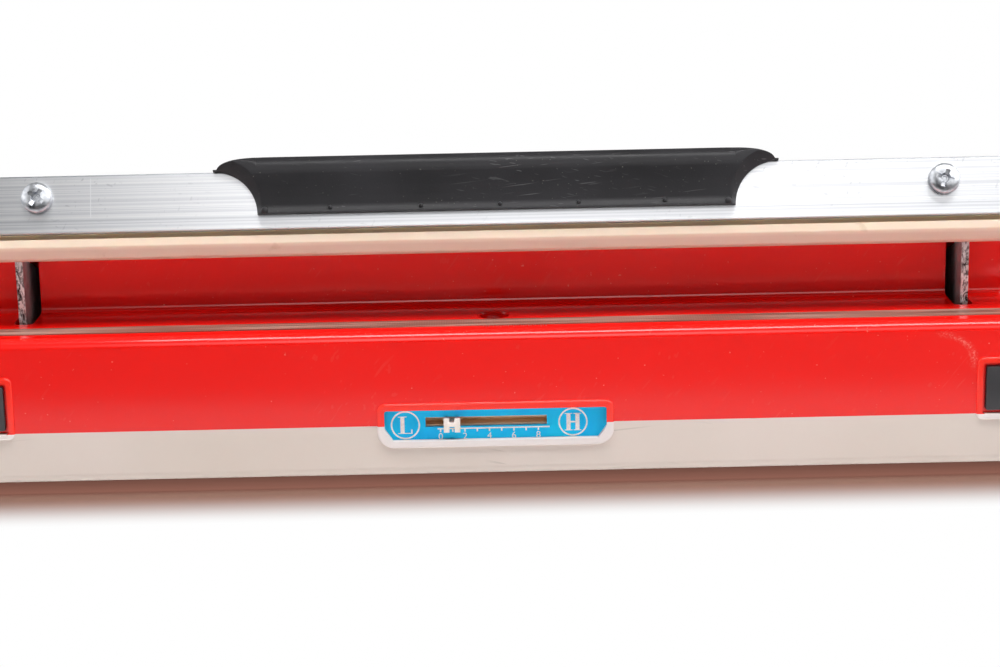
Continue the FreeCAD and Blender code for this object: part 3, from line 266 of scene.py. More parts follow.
core_steel, tree, shader, place = finish("core_steel", Metallic=0.7)
stack = wave(tree, place, 320.0, "Y", 0.4)
wire_up(tree, shader, ramp(tree, stack, (0.1, "#2F2D2B"), (0.8, "#6C6A68")),
        ramp(tree, stack, (0.0, 0.7), (1.0, 0.42)), stack, 0.2 * mm, 0.6)
paint(core_steel, "transformer_core")

winding_tape, tree, shader, place = finish("winding_tape")
turns = wave(tree, place, 110.0, "Z", 1.2)
wire_up(tree, shader, ramp(tree, turns, (0.05, "#A8771A"), (0.3, "#E3B53A")),
        ramp(tree, turns, (0.0, 0.5), (1.0, 0.28)), turns, 0.2 * mm, 0.5)
paint(winding_tape, "transformer_winding")
paint(zinc_steel, "transformer_strap", "strap_screws")


# Timer circuit and micro switch
# A glass-fibre board with the slide resistor on it stands in two slotted posts, and the micro
# switch sits on its own pedestal where the right lever comes down.

board_green, tree, shader, place = finish("board_green", Coat_Weight=0.4)
weave = wave(tree, place, 420.0, "DIAGONAL", 0.6)
tracks = put(tree, "ShaderNodeTexBrick", {
    "Vector": place, "Scale": 60.0, "Color1": "#1F6A3A", "Color2": "#237443",
    "Mortar": "#155230", "Mortar Size": 0.03}).outputs["Color"]
wire_up(tree, shader, tracks, ramp(tree, weave, (0.0, 0.3), (1.0, 0.42)), weave, 0.03 * mm, 0.3)
paint(board_green, "timer_circuit_board")

# Partly the resistor's own tan and partly painted light: it is lifted far lighter than the bar's
# laminate to stand in for light inside the shaded timer slot.
phenolic_painted_light, tree, shader, place = finish("phenolic_painted_light")
paper_grain = noise(tree, stretch(tree, place, (90.0, 90.0, 700.0)), 1.0, Detail=5.0)
wire_up(tree, shader, ramp(tree, paper_grain, (0.3, "#E6B88A"), (0.7, "#F6D2AC")),
        ramp(tree, paper_grain, (0.3, 0.5), (0.7, 0.62)), paper_grain, 0.06 * mm, 0.3)
paint(phenolic_painted_light, "slide_potentiometer")

bezel_black, tree, shader, place = finish("bezel_black")
skin = use(tree, moulded, place, Peel=3200.0, Drift=60.0)
wire_up(tree, shader, ramp(tree, skin["Tone"], (0.3, "#302F32"), (0.7, "#403F42")),
        ramp(tree, skin["Tone"], (0.3, 0.38), (0.7, 0.5)), skin["Height"], 0.06 * mm, 0.35)
paint(bezel_black, "micro_switch")

knob_white, tree, shader, place = finish("knob_white")
skin = use(tree, moulded, place, Peel=2400.0, Drift=300.0)
wire_up(tree, shader, ramp(tree, skin["Tone"], (0.3, "#E8DDD2"), (0.7, "#F6EEE6")),
        ramp(tree, skin["Tone"], (0.3, 0.34), (0.7, 0.46)), skin["Height"], 0.04 * mm, 0.2)
paint(knob_white, "micro_switch_plunger")


# Pivots and return springs
# Two folded brackets carry the levers on headed pins with spring clips; under each lever tab
# stands a wire spring in its cup, which on the heater shortens as the arm comes down and lifts it
# again; here each is a coil of one length, fixed to the housing.

galvanised, tree, shader, place = finish("galvanised", Metallic=1.0)
plate = use(tree, plating, place, Patch=330.0)
marks = use(tree, hairlines, place, Fineness=900.0, Slant=0.7)["Mask"]
tone = ramp(tree, plate["Tone"], (0.02, "#8E9094"), (0.32, "#C9CACC"))
wire_up(tree, shader, blend(tree, marks, tone, "#E4E4E4"),
        ramp(tree, plate["Height"], (0.3, 0.3), (0.7, 0.5)), plate["Height"], 0.05 * mm, 0.3)
paint(galvanised, "right_pivot_bracket", "left_pivot_bracket")
paint(zinc_steel, "pivot_pins", "pivot_clips", "bracket_screws")


def mesh_piece(name, points, faces, material):
    """Object at the origin with a mesh of points and faces, in one material."""
    mesh = bpy.data.meshes.new(name)
    mesh.from_pydata(np.reshape(points, (-1, 3)).tolist(), [], faces)
    mesh.materials.append(material)
    piece = bpy.data.objects.new(name, mesh)
    bpy.context.scene.collection.objects.link(piece)
    return piece


def ring_mesh(name, rings, material, sharp=35.0):
    """Closed mesh over rings of points (ring, place on it, xyz): a quad between each four
    neighbours, and a cap on the first ring and on the last."""
    number = np.arange(rings.shape[0] * rings.shape[1]).reshape(rings.shape[:2])
    beside = np.roll(number, -1, axis=1)
    quads = np.stack([number[:-1], beside[:-1], beside[1:], number[1:]], -1).reshape(-1, 4)
    caps = [number[0, ::-1].tolist(), number[-1].tolist()]
    piece = mesh_piece(name, rings, quads.tolist() + caps, material)
    form = bmesh.new()
    form.from_mesh(piece.data)
    bmesh.ops.recalc_face_normals(form, faces=form.faces)
    form.to_mesh(piece.data)
    form.free()
    piece.data.polygons.foreach_set("use_smooth", np.ones(len(piece.data.polygons), bool))
    piece.data.set_sharp_from_angle(angle=math.radians(sharp))
    return piece


coil_radius = 4.0 * mm
coil_turns = 6
steps_per_turn = 40
wire_radius = 0.6 * mm
wire_sides = 14


def wound_wire(low, high, hand):
    """Rings of points along a wire wound in a helix of one radius between two heights. The wire
    climbs evenly between closed end turns, and hand is 1 for a right-handed winding, -1 for a
    left-handed one."""
    turn = np.linspace(0, coil_turns, coil_turns * steps_per_turn + 1)
    closed_rise = 2 * wire_radius
    open_rise = high - low - 2 * wire_radius - 2 * closed_rise
    levels = np.cumsum([low + wire_radius, closed_rise, open_rise, closed_rise])
    middle_z = np.interp(turn, [0.0, 1.0, coil_turns - 1.0, coil_turns], levels)
    angle = 2 * np.pi * turn
    out = np.stack([hand * np.cos(angle), np.sin(angle), np.zeros_like(angle)], 1)
    middle = coil_radius * out + np.outer(middle_z, [0.0, 0.0, 1.0])
    ahead = np.gradient(middle, axis=0)
    ahead /= np.linalg.norm(ahead, axis=1)[:, None]
    upward = np.cross(out, ahead)
    around = np.linspace(0, 2 * np.pi, wire_sides, endpoint=False)[None, :, None]
    ring = np.cos(around) * out[:, None] + np.sin(around) * upward[:, None]
    return middle[:, None] + wire_radius * ring


for label, hand in (("right", 1), ("left", -1)):
    node = label + "_return_spring"
    seat, top = (np.array(corner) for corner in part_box(node))
    foot = np.array([(seat[0] + top[0]) / 2, (seat[1] + top[1]) / 2, 0.0])
    spring = ring_mesh(label + "_coil", foot + wound_wire(seat[2], top[2], hand), zinc_steel)
    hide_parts(node)
    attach(spring, "housing")
    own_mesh(spring)


# Upper housing
# The red case, injection moulded in glossy ABS: front wall, deck, step and hump in one shell,
# with raised window frames and a slot in the deck for each lever.

def vector(tree, operation, *values):
    """Arithmetic on places: gives a place, or a number for a length or a dot product."""
    made = put(tree, "ShaderNodeVectorMath", enumerate(values), operation=operation)
    return made.outputs["Value" if operation in ("LENGTH", "DOT_PRODUCT") else "Vector"]


front_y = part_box("upper_housing")[0][1]
scuff_place = (133.6 * mm, front_y, 36.6 * mm)
scuff_shape = (1 / (10.5 * mm), 1 / (8.0 * mm), 1 / (8.0 * mm))
scuff_way = (0.8, 0.0, 0.6)

red_abs, tree, shader, place = finish("red_abs", IOR=1.5)
skin = use(tree, moulded, place, Peel=520.0, Drift=9.0)
marks = use(tree, hairlines, place, Fineness=620.0, Slant=0.9)["Mask"]
tone = ramp(tree, skin["Tone"], (0.3, "#EE140D"), (0.7, "#F4170F"))
specks = ramp(tree, noise(tree, place, 900.0, Detail=1.0), (0.0, 0), (0.775, 0), (0.8, 0.4))
# One scuff near the right window: broken dots along part of an ellipse.
from_scuff = vector(tree, "MULTIPLY", vector(tree, "SUBTRACT", place, scuff_place), scuff_shape)
off_arc = calc(tree, "ABSOLUTE", calc(tree, "SUBTRACT", vector(tree, "LENGTH", from_scuff), 1.0))
thin = span(tree, off_arc, 0.03, 0.16, 0.6, 0.0)
part = span(tree, vector(tree, "DOT_PRODUCT", from_scuff, scuff_way), 0.5, 0.8)
scrape = noise(tree, place, 1500.0, Detail=3.0, Roughness=0.7)
dots = ramp(tree, scrape, (0.0, 0), (0.5, 0.1), (0.68, 1))
scuff = calc(tree, "MULTIPLY", calc(tree, "MULTIPLY", thin, part), dots)
worn = calc(tree, "MAXIMUM", calc(tree, "MULTIPLY_ADD", marks, 0.05, scuff), specks)
scuffed = blend(tree, worn, tone, "#FF9A88")
# Painted highlight: the faces of the raised window frames are painted a brighter red where they
# catch the light.
lit_frame = span(tree, axes(tree, place)["Y"], front_y + 0.3 * mm, front_y + 0.75 * mm, 0.8, 0.0)
dull = calc(tree, "MULTIPLY_ADD", worn, 0.25, 0.09)
wire_up(tree, shader, blend(tree, lit_frame, scuffed, "#FF2F1C"),
        calc(tree, "MULTIPLY_ADD", skin["Tone"], 0.08, dull), skin["Height"], 0.04 * mm, 0.08)
paint(red_abs, "upper_housing")


# Cord inlet
# A flanged rubber bush pushed into the rear wall, flush with it.

paint(foot_rubber, "cord_inlet_bush")


# Timer scale and knob
# A printed aluminium plate behind the window, blue with white marks and a slot for the slider;
# the slider is a forked white knob, moulded in one piece with its stem.

scale_blue, tree, shader, place = finish("scale_blue", Specular_IOR_Level=0.2)
cover = noise(tree, place, 90.0, Detail=5.0)
wire_up(tree, shader, ramp(tree, cover, (0.3, "#02BBFF"), (0.7, "#08D0FF")),
        ramp(tree, cover, (0.3, 0.28), (0.7, 0.4)), cover, 0.04 * mm, 0.2)
paint(scale_blue, "timer_scale_plate")
paint(knob_white, "timer_knob")

scale_print, tree, shader, place = finish("scale_print")
ink = noise(tree, place, 2200.0, Detail=2.0)
wire_up(tree, shader, ramp(tree, ink, (0.3, "#E6E4E2"), (0.6, "#F8F7F5")),
        ramp(tree, ink, (0.3, 0.4), (0.7, 0.55)))

pot_low, pot_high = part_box("slide_potentiometer")
slot_z = (pot_low[2] + pot_high[2]) / 2
ink_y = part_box("timer_scale_plate")[0][1] - 0.02 * mm
ink_thickness = 0.03 * mm
baseline_z = slot_z - 2.15 * mm
scale_zero = -16.7 * mm
scale_step = 3.7 * mm
scale_marks = 9


def ink_piece(name, points, faces):
    """One piece of print: flat faces on the plate, thickened to the film of ink."""
    piece = mesh_piece(name, points, faces, scale_print)
    film = piece.modifiers.new("film", "SOLIDIFY")
    film.thickness = ink_thickness
    film.offset = 0.0
    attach(piece, "housing")


def corner_points(mesh):
    """Corner points of a mesh, one row for each."""
    flat = np.empty(len(mesh.vertices) * 3)
    mesh.vertices.foreach_get("co", flat)
    return flat.reshape(-1, 3)


def outline_print(name, corners):
    """Ink on the plate inside one closed outline of (x, z) corners."""
    x, z = np.asarray(corners).T
    ink_piece(name, np.stack([x, np.full_like(x, ink_y), z], 1), [list(range(len(x)))])


tick_x = scale_zero + scale_step * np.arange(scale_marks)
tick_half = 0.22 * mm
tick_low = baseline_z - 1.05 * mm
line_low = baseline_z - 0.2 * mm
line_high = baseline_z + 0.2 * mm
line_start = scale_zero - 0.9 * mm
line_end = tick_x[-1] + 3.4 * mm
teeth_x = tick_x[:, None] + tick_half * np.array([-1, -1, 1, 1])
teeth_z = np.tile([line_low, tick_low, tick_low, line_low], (scale_marks, 1))
teeth = np.stack([teeth_x.ravel(), teeth_z.ravel()], 1)
back = [(line_end, line_low), (line_end, line_high),
        (line_start, line_high), (line_start, line_low)]
outline_print("scale_marks", np.vstack([teeth, back]))

numeral_height = 2.1 * mm
numeral_drop = 1.3 * mm
type_size = 1.4 * numeral_height
for number in range(0, scale_marks, 2):
    figure = bpy.data.curves.new("figure", "FONT")
    figure.body = str(number)
    figure.align_x = "CENTER"
    figure.size = type_size
    written = bpy.data.objects.new("figure", figure)
    bpy.context.scene.collection.objects.link(written)
    bpy.context.view_layer.update()
    shown = written.evaluated_get(bpy.context.evaluated_depsgraph_get())
    outline = bpy.data.meshes.new_from_object(shown)
    drawn = corner_points(outline)
    on_plate = np.stack([drawn[:, 0] + tick_x[number], np.full(len(drawn), ink_y),
                         drawn[:, 1] + baseline_z - numeral_drop - numeral_height], 1)
    faces = [list(face.vertices) for face in outline.polygons]
    ink_piece("scale_numeral_%d" % number, on_plate, faces)
    bpy.data.objects.remove(written)

ring_radius = 4.2 * mm
ring_stroke = 0.46 * mm
ring_steps = 64
ring_z = slot_z - 0.8 * mm
low_x = -27.3 * mm
high_x = 23.4 * mm


def ring_print(name, x, z):
    """Ink ring: points at the radius ± half a stroke around (x, z), joined by quads."""
    angle = np.linspace(0, 2 * np.pi, ring_steps, endpoint=False)
    rims = ring_radius + np.array([-0.5, 0.5]) * ring_stroke
    rings = np.stack([x + np.outer(rims, np.cos(angle)), np.full((2, ring_steps), ink_y),
                      z + np.outer(rims, np.sin(angle))], 2)
    here = np.arange(ring_steps)
    ahead = np.roll(here, -1)
    quads = np.stack([here, here + ring_steps, ahead + ring_steps, ahead], 1)
    ink_piece(name, rings, quads.tolist())


ring_print("low_ring", low_x, ring_z)
ring_print("high_ring", high_x, ring_z)

letter_half = 2.7 * mm
stem = 0.62 * mm
serif = 0.24 * mm
foot_z = ring_z - letter_half
head_z = ring_z + letter_half
low_stem = low_x - 0.9 * mm
low_serif = 1.3 * mm
low_reach = 3.0 * mm
beak = 0.4 * mm
beak_rise = 1.3 * mm
outline_print("low_letter", np.array([low_stem, 0.0]) + np.array([
    (-low_serif, foot_z), (low_reach, foot_z), (low_reach, foot_z + beak_rise),
    (low_reach - beak, foot_z + beak_rise), (low_reach - beak, foot_z + serif),
    (stem, foot_z + serif), (stem, head_z - serif), (low_serif, head_z - serif),
    (low_serif, head_z), (-low_serif, head_z), (-low_serif, head_z - serif),
    (-stem, head_z - serif), (-stem, foot_z + serif), (-low_serif, foot_z + serif)]))

stem_gap = 1.35 * mm
high_serif = 1.15 * mm
quarter = np.array([
    (stem_gap - stem, serif), (stem_gap - stem, letter_half - serif),
    (stem_gap - high_serif, letter_half - serif), (stem_gap - high_serif, letter_half),
    (stem_gap + high_serif, letter_half), (stem_gap + high_serif, letter_half - serif),
    (stem_gap + stem, letter_half - serif)])
quarters = [quarter, quarter[::-1] * (1, -1), quarter * (-1, -1), quarter[::-1] * (-1, 1)]
outline_print("high_letter", np.array([high_x, ring_z]) + np.vstack(quarters))


# Side windows
# Snap-in inserts of black nylon: a rocker switch on the right, a signal lamp with an amber lens
# on the left.

paint(bezel_black, "rocker_switch_body", "indicator_lamp_body", "rocker_button")
lamp_amber, tree, shader, place = finish("lamp_amber", Transmission_Weight=0.35, IOR=1.49)
ribs = wave(tree, place, 160.0, "Z")
wire_up(tree, shader, ramp(tree, ribs, (0.0, "#C2600C"), (1.0, "#F0922A")),
        ramp(tree, ribs, (0.0, 0.2), (1.0, 0.12)), ribs, 0.3 * mm, 0.5)
paint(lamp_amber, "indicator_lamp_lens")


# Heater
# A flat resistance ribbon runs over a laminate bar between two sprung brass terminals, and a
# strip of coated glass cloth lies over it, its ends under steel clamps and its front frayed.

laminate, tree, shader, place = finish("laminate")
fibre = noise(tree, place, 260.0, Detail=6.0, Roughness=0.7)
wire_up(tree, shader, ramp(tree, fibre, (0.3, "#6E4A22"), (0.7, "#9A7040")),
        ramp(tree, fibre, (0.3, 0.45), (0.7, 0.6)), fibre, 0.08 * mm, 0.3)
paint(laminate, "insulating_bar")

ribbon_alloy, tree, shader, place = finish("ribbon_alloy", Metallic=1.0)
rolled = noise(tree, stretch(tree, place, (4.0, 900.0, 900.0)), 1.0, Detail=3.0)
wire_up(tree, shader, ramp(tree, rolled, (0.3, "#8C8780"), (0.7, "#B9B4AC")),
        ramp(tree, rolled, (0.3, 0.25), (0.7, 0.4)), rolled, 0.03 * mm, 0.3)
paint(ribbon_alloy, "heating_ribbon")

brass, tree, shader, place = finish("brass", Metallic=1.0)
plate = use(tree, plating, place, Patch=500.0)
wire_up(tree, shader, ramp(tree, plate["Tone"], (0.05, "#A5823C"), (0.35, "#D8B566")),
        ramp(tree, plate["Height"], (0.3, 0.28), (0.7, 0.42)), plate["Height"], 0.03 * mm, 0.2)
paint(brass, "terminal_blocks")
paint(zinc_steel, "terminal_screws", "terminal_springs", "clamp_screws")
paint(galvanised, "strip_clamps")

ptfe_cloth, tree, shader, place = finish("ptfe_cloth")
warp = wave(tree, place, 420.0, "X", 1.0)
weft = wave(tree, place, 420.0, "Y", 1.0)
cloth = calc(tree, "MULTIPLY", warp, weft)
streak = noise(tree, stretch(tree, place, (18.0, 420.0, 1.0)), 1.0, Detail=4.0)
tone = ramp(tree, streak, (0.36, "#6A4236"), (0.5, "#8A6154"), (0.64, "#B08A7D"))
wire_up(tree, shader, blend(tree, calc(tree, "MULTIPLY", cloth, 0.3), tone, "#C2AEA2"),
        ramp(tree, streak, (0.3, 0.32), (0.7, 0.5)), cloth, 0.08 * mm, 0.5)

strip_low, strip_high = (np.array(corner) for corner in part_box("ptfe_strip"))
strip_along = 400
strip_across = 17
edge_waver = 0.12 * mm
top_waver = 0.03 * mm
top_room = 0.04 * mm


def wander(along, seed, waves=9, shortest=6.0 * mm, longest=120.0 * mm, gain=1.8):
    """Slow random drift along a length: a sum of sines of spread wavelengths, each weighted by the
    square root of its length, with a gain that brings it to about ±1."""
    pick = np.random.default_rng(seed)
    lengths = np.geomspace(shortest, longest, waves)
    weights = np.sqrt(lengths / longest)
    shifts = pick.uniform(0, 2 * np.pi, waves)
    waves_at = np.sin(2 * np.pi * along[:, None] / lengths + shifts)
    return waves_at @ weights / weights.sum() * gain


along = np.linspace(strip_low[0], strip_high[0], strip_along)
front_edge = strip_low[1] + edge_waver * (1 + wander(along, 3))
rear_edge = strip_high[1] - edge_waver * (1 + wander(along, 4))
share = np.linspace(0, 1, strip_across)
top_y = front_edge[:, None] + (rear_edge - front_edge)[:, None] * share
top_z = strip_high[2] - top_room + top_waver * (wander(along, 5)[:, None] * np.sin(np.pi * share))
loop_y = np.hstack([top_y, top_y[:, ::-1]])
loop_z = np.hstack([top_z, np.full_like(top_z, strip_low[2])])
loop_x = np.repeat(along[:, None], loop_y.shape[1], 1)
strip = ring_mesh("ptfe_cover", np.stack([loop_x, loop_y, loop_z], 2), ptfe_cloth)
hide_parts("ptfe_strip")
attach(strip, "housing")

thread_count = 26
thread_first = -3.0 * mm
thread_pitch = 0.75 * mm
thread_half = 0.09 * mm
thread_root = 0.3 * mm
thread_low = strip_low[2] + 0.02 * mm
thread_high = strip_low[2] + 0.16 * mm
tip_lean = 0.1 * mm
tip_width_share = 0.6
tip_height_share = 0.7
pick = np.random.default_rng(11)
thread_jitter = pick.uniform(-0.1, 0.1, thread_count) * mm
thread_reach = pick.uniform(1.2, 2.6, thread_count) * mm
thread_x = thread_first + thread_pitch * np.arange(thread_count) + thread_jitter
root_y = np.interp(thread_x, along, front_edge) + thread_root
rim_x = thread_half * np.array([-1, 1, 1, -1])
rim_z = (thread_high - thread_low) * np.array([0, 0, 1, 1])


def thread_ends(x, y, width_share, height_share):
    """Four corners of each thread at one end, from its middle and its shares of the full size."""
    corners = np.broadcast_arrays(x[:, None] + rim_x * width_share, y[:, None],
                                  thread_low + rim_z * height_share)
    return np.stack(corners, 2)


roots = thread_ends(thread_x, root_y, 1.0, 1.0)
tips = thread_ends(thread_x + tip_lean, root_y - thread_reach, tip_width_share, tip_height_share)
walls = [(0, 1, 5, 4), (1, 2, 6, 5), (2, 3, 7, 6), (3, 0, 4, 7), (3, 2, 1, 0), (4, 5, 6, 7)]
corners = np.concatenate([roots, tips], 1)
starts = corners.shape[1] * np.arange(thread_count)[:, None]
faces = np.vstack([starts + np.array([wall]) for wall in walls]).tolist()
threads = mesh_piece("frayed_threads", corners, faces, ptfe_cloth)
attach(threads, "housing")


# Levers
# Two plates sheared from galvanised steel: bright spangled faces, and torn edges where the
# punch broke through.

lever_steel, tree, shader, place = finish("lever_steel")
plate = use(tree, plating, place, Patch=300.0)
normal = put(tree, "ShaderNodeNewGeometry").outputs["True Normal"]
edge = ramp(tree, calc(tree, "ABSOLUTE", axes(tree, normal)["X"]), (0.4, 1), (0.7, 0))
torn = noise(tree, stretch(tree, place, (500.0, 220.0, 220.0)), 1.0,
             Detail=6.0, Roughness=0.7, Distortion=1.5)
face_tone = ramp(tree, plate["Tone"], (0.02, "#A8A9AC"), (0.32, "#CFCFD1"))
edge_tone = ramp(tree, torn, (0.4, "#1E1C1C"), (0.47, "#9A9896"), (0.54, "#FBFBFA"))
edge_gloss = ramp(tree, torn, (0.3, 0.25), (0.7, 0.5))
tree.links.new(ramp(tree, edge, (0.0, 0.6), (1.0, 0.85)), shader.inputs["Metallic"])
wire_up(tree, shader, blend(tree, edge, face_tone, edge_tone),
        blend(tree, edge, 0.42, edge_gloss, "FLOAT"), torn, 0.6 * mm, 0.6)
paint(lever_steel, "right_lever", "left_lever")


# Pressing arm
# A drawn aluminium channel in mill finish, marked with fine lines along its length, and closed
# at both ends by moulded plugs.

hinge = next(joint for joint in frame["joints"] if joint["name"] == "arm_hinge")
hinge_y, hinge_z = hinge["pos_m"][1:]
swing = math.radians(hinge["range_deg"][1])


def swung(points, angle):
    """Points turned about the hinge axis, which runs along X: a plane rotation in Y and Z."""
    y = points[..., 1] - hinge_y
    z = points[..., 2] - hinge_z
    turned_y = hinge_y + y * math.cos(angle) - z * math.sin(angle)
    turned_z = hinge_z + y * math.sin(angle) + z * math.cos(angle)
    return np.stack([points[..., 0], turned_y, turned_z], -1)


def closed_points(name):
    """Corner points of an arm node, with the arm swung down flat."""
    return swung(corner_points(nodes[name].data), swing)


channel_low = closed_points("arm_channel").min(0)
channel_high = closed_points("arm_channel").max(0)


def arm_height(tree, place):
    """Height above the channel's foot as if the arm were down: the z of the same rotation."""
    upright = vector(tree, "DOT_PRODUCT", place, (0.0, math.sin(swing), math.cos(swing)))
    foot = hinge_y * math.sin(swing) + hinge_z * math.cos(swing) - hinge_z + channel_low[2]
    return calc(tree, "SUBTRACT", upright, foot)


drawn_aluminium, tree, shader, place = finish("drawn_aluminium", Metallic=1.0, Anisotropic=0.85)
across = put(tree, "ShaderNodeTangent", direction_type="RADIAL", axis="X")
tree.links.new(across.outputs[0], shader.inputs["Tangent"])
die_lines = noise(tree, stretch(tree, place, (2.0, 3600.0, 3600.0)), 1.0, Detail=3.0)
bands = noise(tree, stretch(tree, place, (1.0, 1300.0, 1300.0)), 1.0, Detail=3.0)
streaks = calc(tree, "MULTIPLY", die_lines, bands)
tone = ramp(tree, streaks, (0.14, "#CDCED2"), (0.25, "#DEDFE2"), (0.36, "#ECECED"))
height = arm_height(tree, place)
# Painted shade: a darker line along the groove step low on the face and along the top rim.
groove_shade = calc(tree, "COMPARE", height, 3.7 * mm, 0.16 * mm)
rim_shade = calc(tree, "COMPARE", height, channel_high[2] - channel_low[2], 0.35 * mm)
edges = calc(tree, "MAXIMUM", calc(tree, "MULTIPLY", groove_shade, 0.45), rim_shade)
step_shaded = blend(tree, edges, tone, "#A2A4AA")
scribe = calc(tree, "COMPARE", axes(tree, place)["X"], -120.6 * mm, 0.13 * mm)
scribe_run = calc(tree, "COMPARE", height, 10.5 * mm, 6.0 * mm)
lined = blend(tree, calc(tree, "MULTIPLY", scribe, scribe_run), step_shaded, "#EFF0F2")
marks = use(tree, hairlines, place, Fineness=900.0, Slant=1.3)["Mask"]
wire_up(tree, shader, blend(tree, calc(tree, "MULTIPLY", marks, 0.3), lined, "#8F9096"),
        ramp(tree, streaks, (0.15, 0.35), (0.36, 0.39)), streaks, 0.06 * mm, 0.04)
paint(drawn_aluminium, "arm_channel")
paint(bezel_black, "arm_end_caps")


# Silicone pad
# An extruded bar of cream silicone pushed into the groove of the channel, with a few stains from
# use;
# its lower bevel is painted darker and pinker, a painted shade with the deck's red light, and its
# neck under the channel is painted lighter, a painted light in that gap.

pad_points = closed_points("silicone_pad")
pad_front = pad_points[pad_points[:, 1] <= pad_points[:, 1].min() + 0.01 * mm]
bevel_top = pad_front[:, 2].min() - channel_low[2]

silicone, tree, shader, place = finish(
    "silicone", Subsurface_Weight=0.15, Subsurface_Scale=2.0 * mm)
skin = use(tree, moulded, place, Peel=1100.0, Drift=30.0)
tone = ramp(tree, skin["Tone"], (0.3, "#E5CCB6"), (0.7, "#EBD4BF"))
height = arm_height(tree, place)
# Painted shade: the bevel that presses on the work is darker and pinker, as if shaded and lit red
# by the deck.
pressing = span(tree, height, bevel_top - 1.3 * mm, bevel_top - 0.1 * mm, 1.0, 0.0)
# Painted light: the neck in the gap under the channel is lighter, standing in for light in that
# shade.
neck = span(tree, height, -1.8 * mm, -1.5 * mm)
painted_pad_tone = blend(tree, neck, blend(tree, pressing, tone, "#D2B3A1"), "#FFE2BC")
stain = ramp(tree, noise(tree, place, 140.0, Detail=4.0), (0.0, 0), (0.66, 0), (0.78, 0.5))
wire_up(tree, shader, blend(tree, stain, painted_pad_tone, "#A98058"),
        ramp(tree, skin["Tone"], (0.3, 0.5), (0.7, 0.62)), skin["Height"], 0.06 * mm, 0.25)
paint(silicone, "silicone_pad")


# Handle grip
# A saddle of black polypropylene moulded over the channel: finger groove, lip with pinch marks,
# crowned top, and ends that sweep out to thin tips.

grip_low = closed_points("handle_grip").min(0)
grip_high = closed_points("handle_grip").max(0)
face_y = channel_low[1]
back_y = channel_high[1]
seat_z = channel_high[2]
lip_z = grip_low[2]
crown_z = grip_high[2]
tip_x = (grip_high[0] - grip_low[0]) / 2
grip_middle = (grip_high[0] + grip_low[0]) / 2
foot_x = 72.0 * mm
crown_x = 69.0 * mm
tip_start = tip_x - 1.3 * mm
tip_rise = 0.7 * mm
tip_edge = 0.05 * mm
tip_back = 0.7 * mm
rear_stand = 2.5 * mm
crown_run = 2.5 * mm
skirt_drop = 8.0 * mm
cove_run = tip_x - foot_x
cove_rise = seat_z - lip_z
shoulder_share = 0.8
edge_share = 0.22
bevel_foot = 0.8 * mm
bevel_growth = 3.0 * mm
bevel_power = 0.8
crown_power = 2.2
row_power = 0.9
front_rows = 44
crown_rows = 12
rear_rows = 8
profile_rows = 400
soften_rows = 13


def front_stand(z):
    """How far the front stands off the channel at a height: lip, hollow for the fingers and bulge,
    between given points and then softened by a running mean."""
    heights = np.array([0.0, 0.15, 0.45, 1.6, 2.4, 5.0, 8.0, 10.5, 12.0, 13.0, 14.5, 19.0]) * mm
    stands = np.array([2.85, 3.05, 2.95, 2.2, 2.05, 2.45, 3.05, 3.65, 4.0, 4.1, 4.1, 3.9]) * mm
    fine = np.linspace(0, heights[-1], profile_rows)
    weights = np.hanning(soften_rows) / np.hanning(soften_rows).sum()
    curve = np.pad(np.interp(fine, heights, stands), soften_rows // 2, mode="edge")
    return np.interp(z - lip_z, fine, np.convolve(curve, weights, "valid"))


def grip_section(x):
    """Closed loop of points around the grip for each place along it: up the front, over the crown
    by quarter ellipses, down the rear, and back along the faces that sit on the channel. The lower
    edge follows a quarter ellipse in the coves, and the front thins to it over a bevel there."""
    reach = np.abs(x)
    in_cove = np.clip((tip_x - reach) / cove_run, 0, 1)
    low = lip_z + cove_rise * np.sqrt(np.clip(1 - in_cove ** 2, 0, 1))
    low = np.where(reach <= foot_x, lip_z, np.minimum(low, seat_z - tip_edge))
    fall = np.clip((reach - crown_x) / (tip_start - crown_x), 0, 1)
    high = seat_z + tip_rise + (crown_z - seat_z - tip_rise) * np.sqrt(1 - fall ** crown_power)
    shoulder = low + (high - low) * shoulder_share
    share = np.linspace(0, 1, front_rows) ** row_power
    front_z = low[:, None] + (shoulder - low)[:, None] * share
    rise = (front_z - lip_z) / cove_rise
    ring = np.sqrt(((tip_x - reach)[:, None] / cove_run) ** 2 + rise ** 2)
    inward = np.maximum(ring - 1, 0) * cove_run
    width = bevel_foot + bevel_growth * np.clip(rise, 0, 1)
    bevel = edge_share + (1 - edge_share) * np.clip(inward / width, 0, 1) ** bevel_power
    front_y = face_y - front_stand(front_z) * bevel
    turn = np.linspace(0, np.pi / 2, crown_rows)[1:]
    inner_front = face_y + crown_run
    crown_front_y = inner_front - (inner_front - front_y[:, -1])[:, None] * np.cos(turn)
    crown_front_z = shoulder[:, None] + (high - shoulder)[:, None] * np.sin(turn)
    skirt = np.maximum(seat_z - skirt_drop, low)
    rear = back_y + tip_back + rear_stand * np.sqrt(np.clip(1 - fall, 0, 1))
    inner_rear = back_y - crown_run
    crown_rear_y = inner_rear + (rear - inner_rear)[:, None] * np.sin(turn)
    crown_rear_z = shoulder[:, None] + (high - shoulder)[:, None] * np.cos(turn)
    rear_z = shoulder[:, None] + (skirt - shoulder)[:, None] * np.linspace(0, 1, rear_rows)[1:]
    rear_y = np.repeat(rear[:, None], rear_rows - 1, 1)
    sit_y = np.tile([back_y, back_y, face_y, face_y], (len(x), 1))
    sit_z = np.stack([skirt, np.full_like(x, seat_z), np.full_like(x, seat_z), low], 1)
    y = np.hstack([front_y, crown_front_y, crown_rear_y, rear_y, sit_y])
    z = np.hstack([front_z, crown_front_z, crown_rear_z, rear_z, sit_z])
    return np.stack([np.repeat(x[:, None], y.shape[1], 1), y, z], 2)


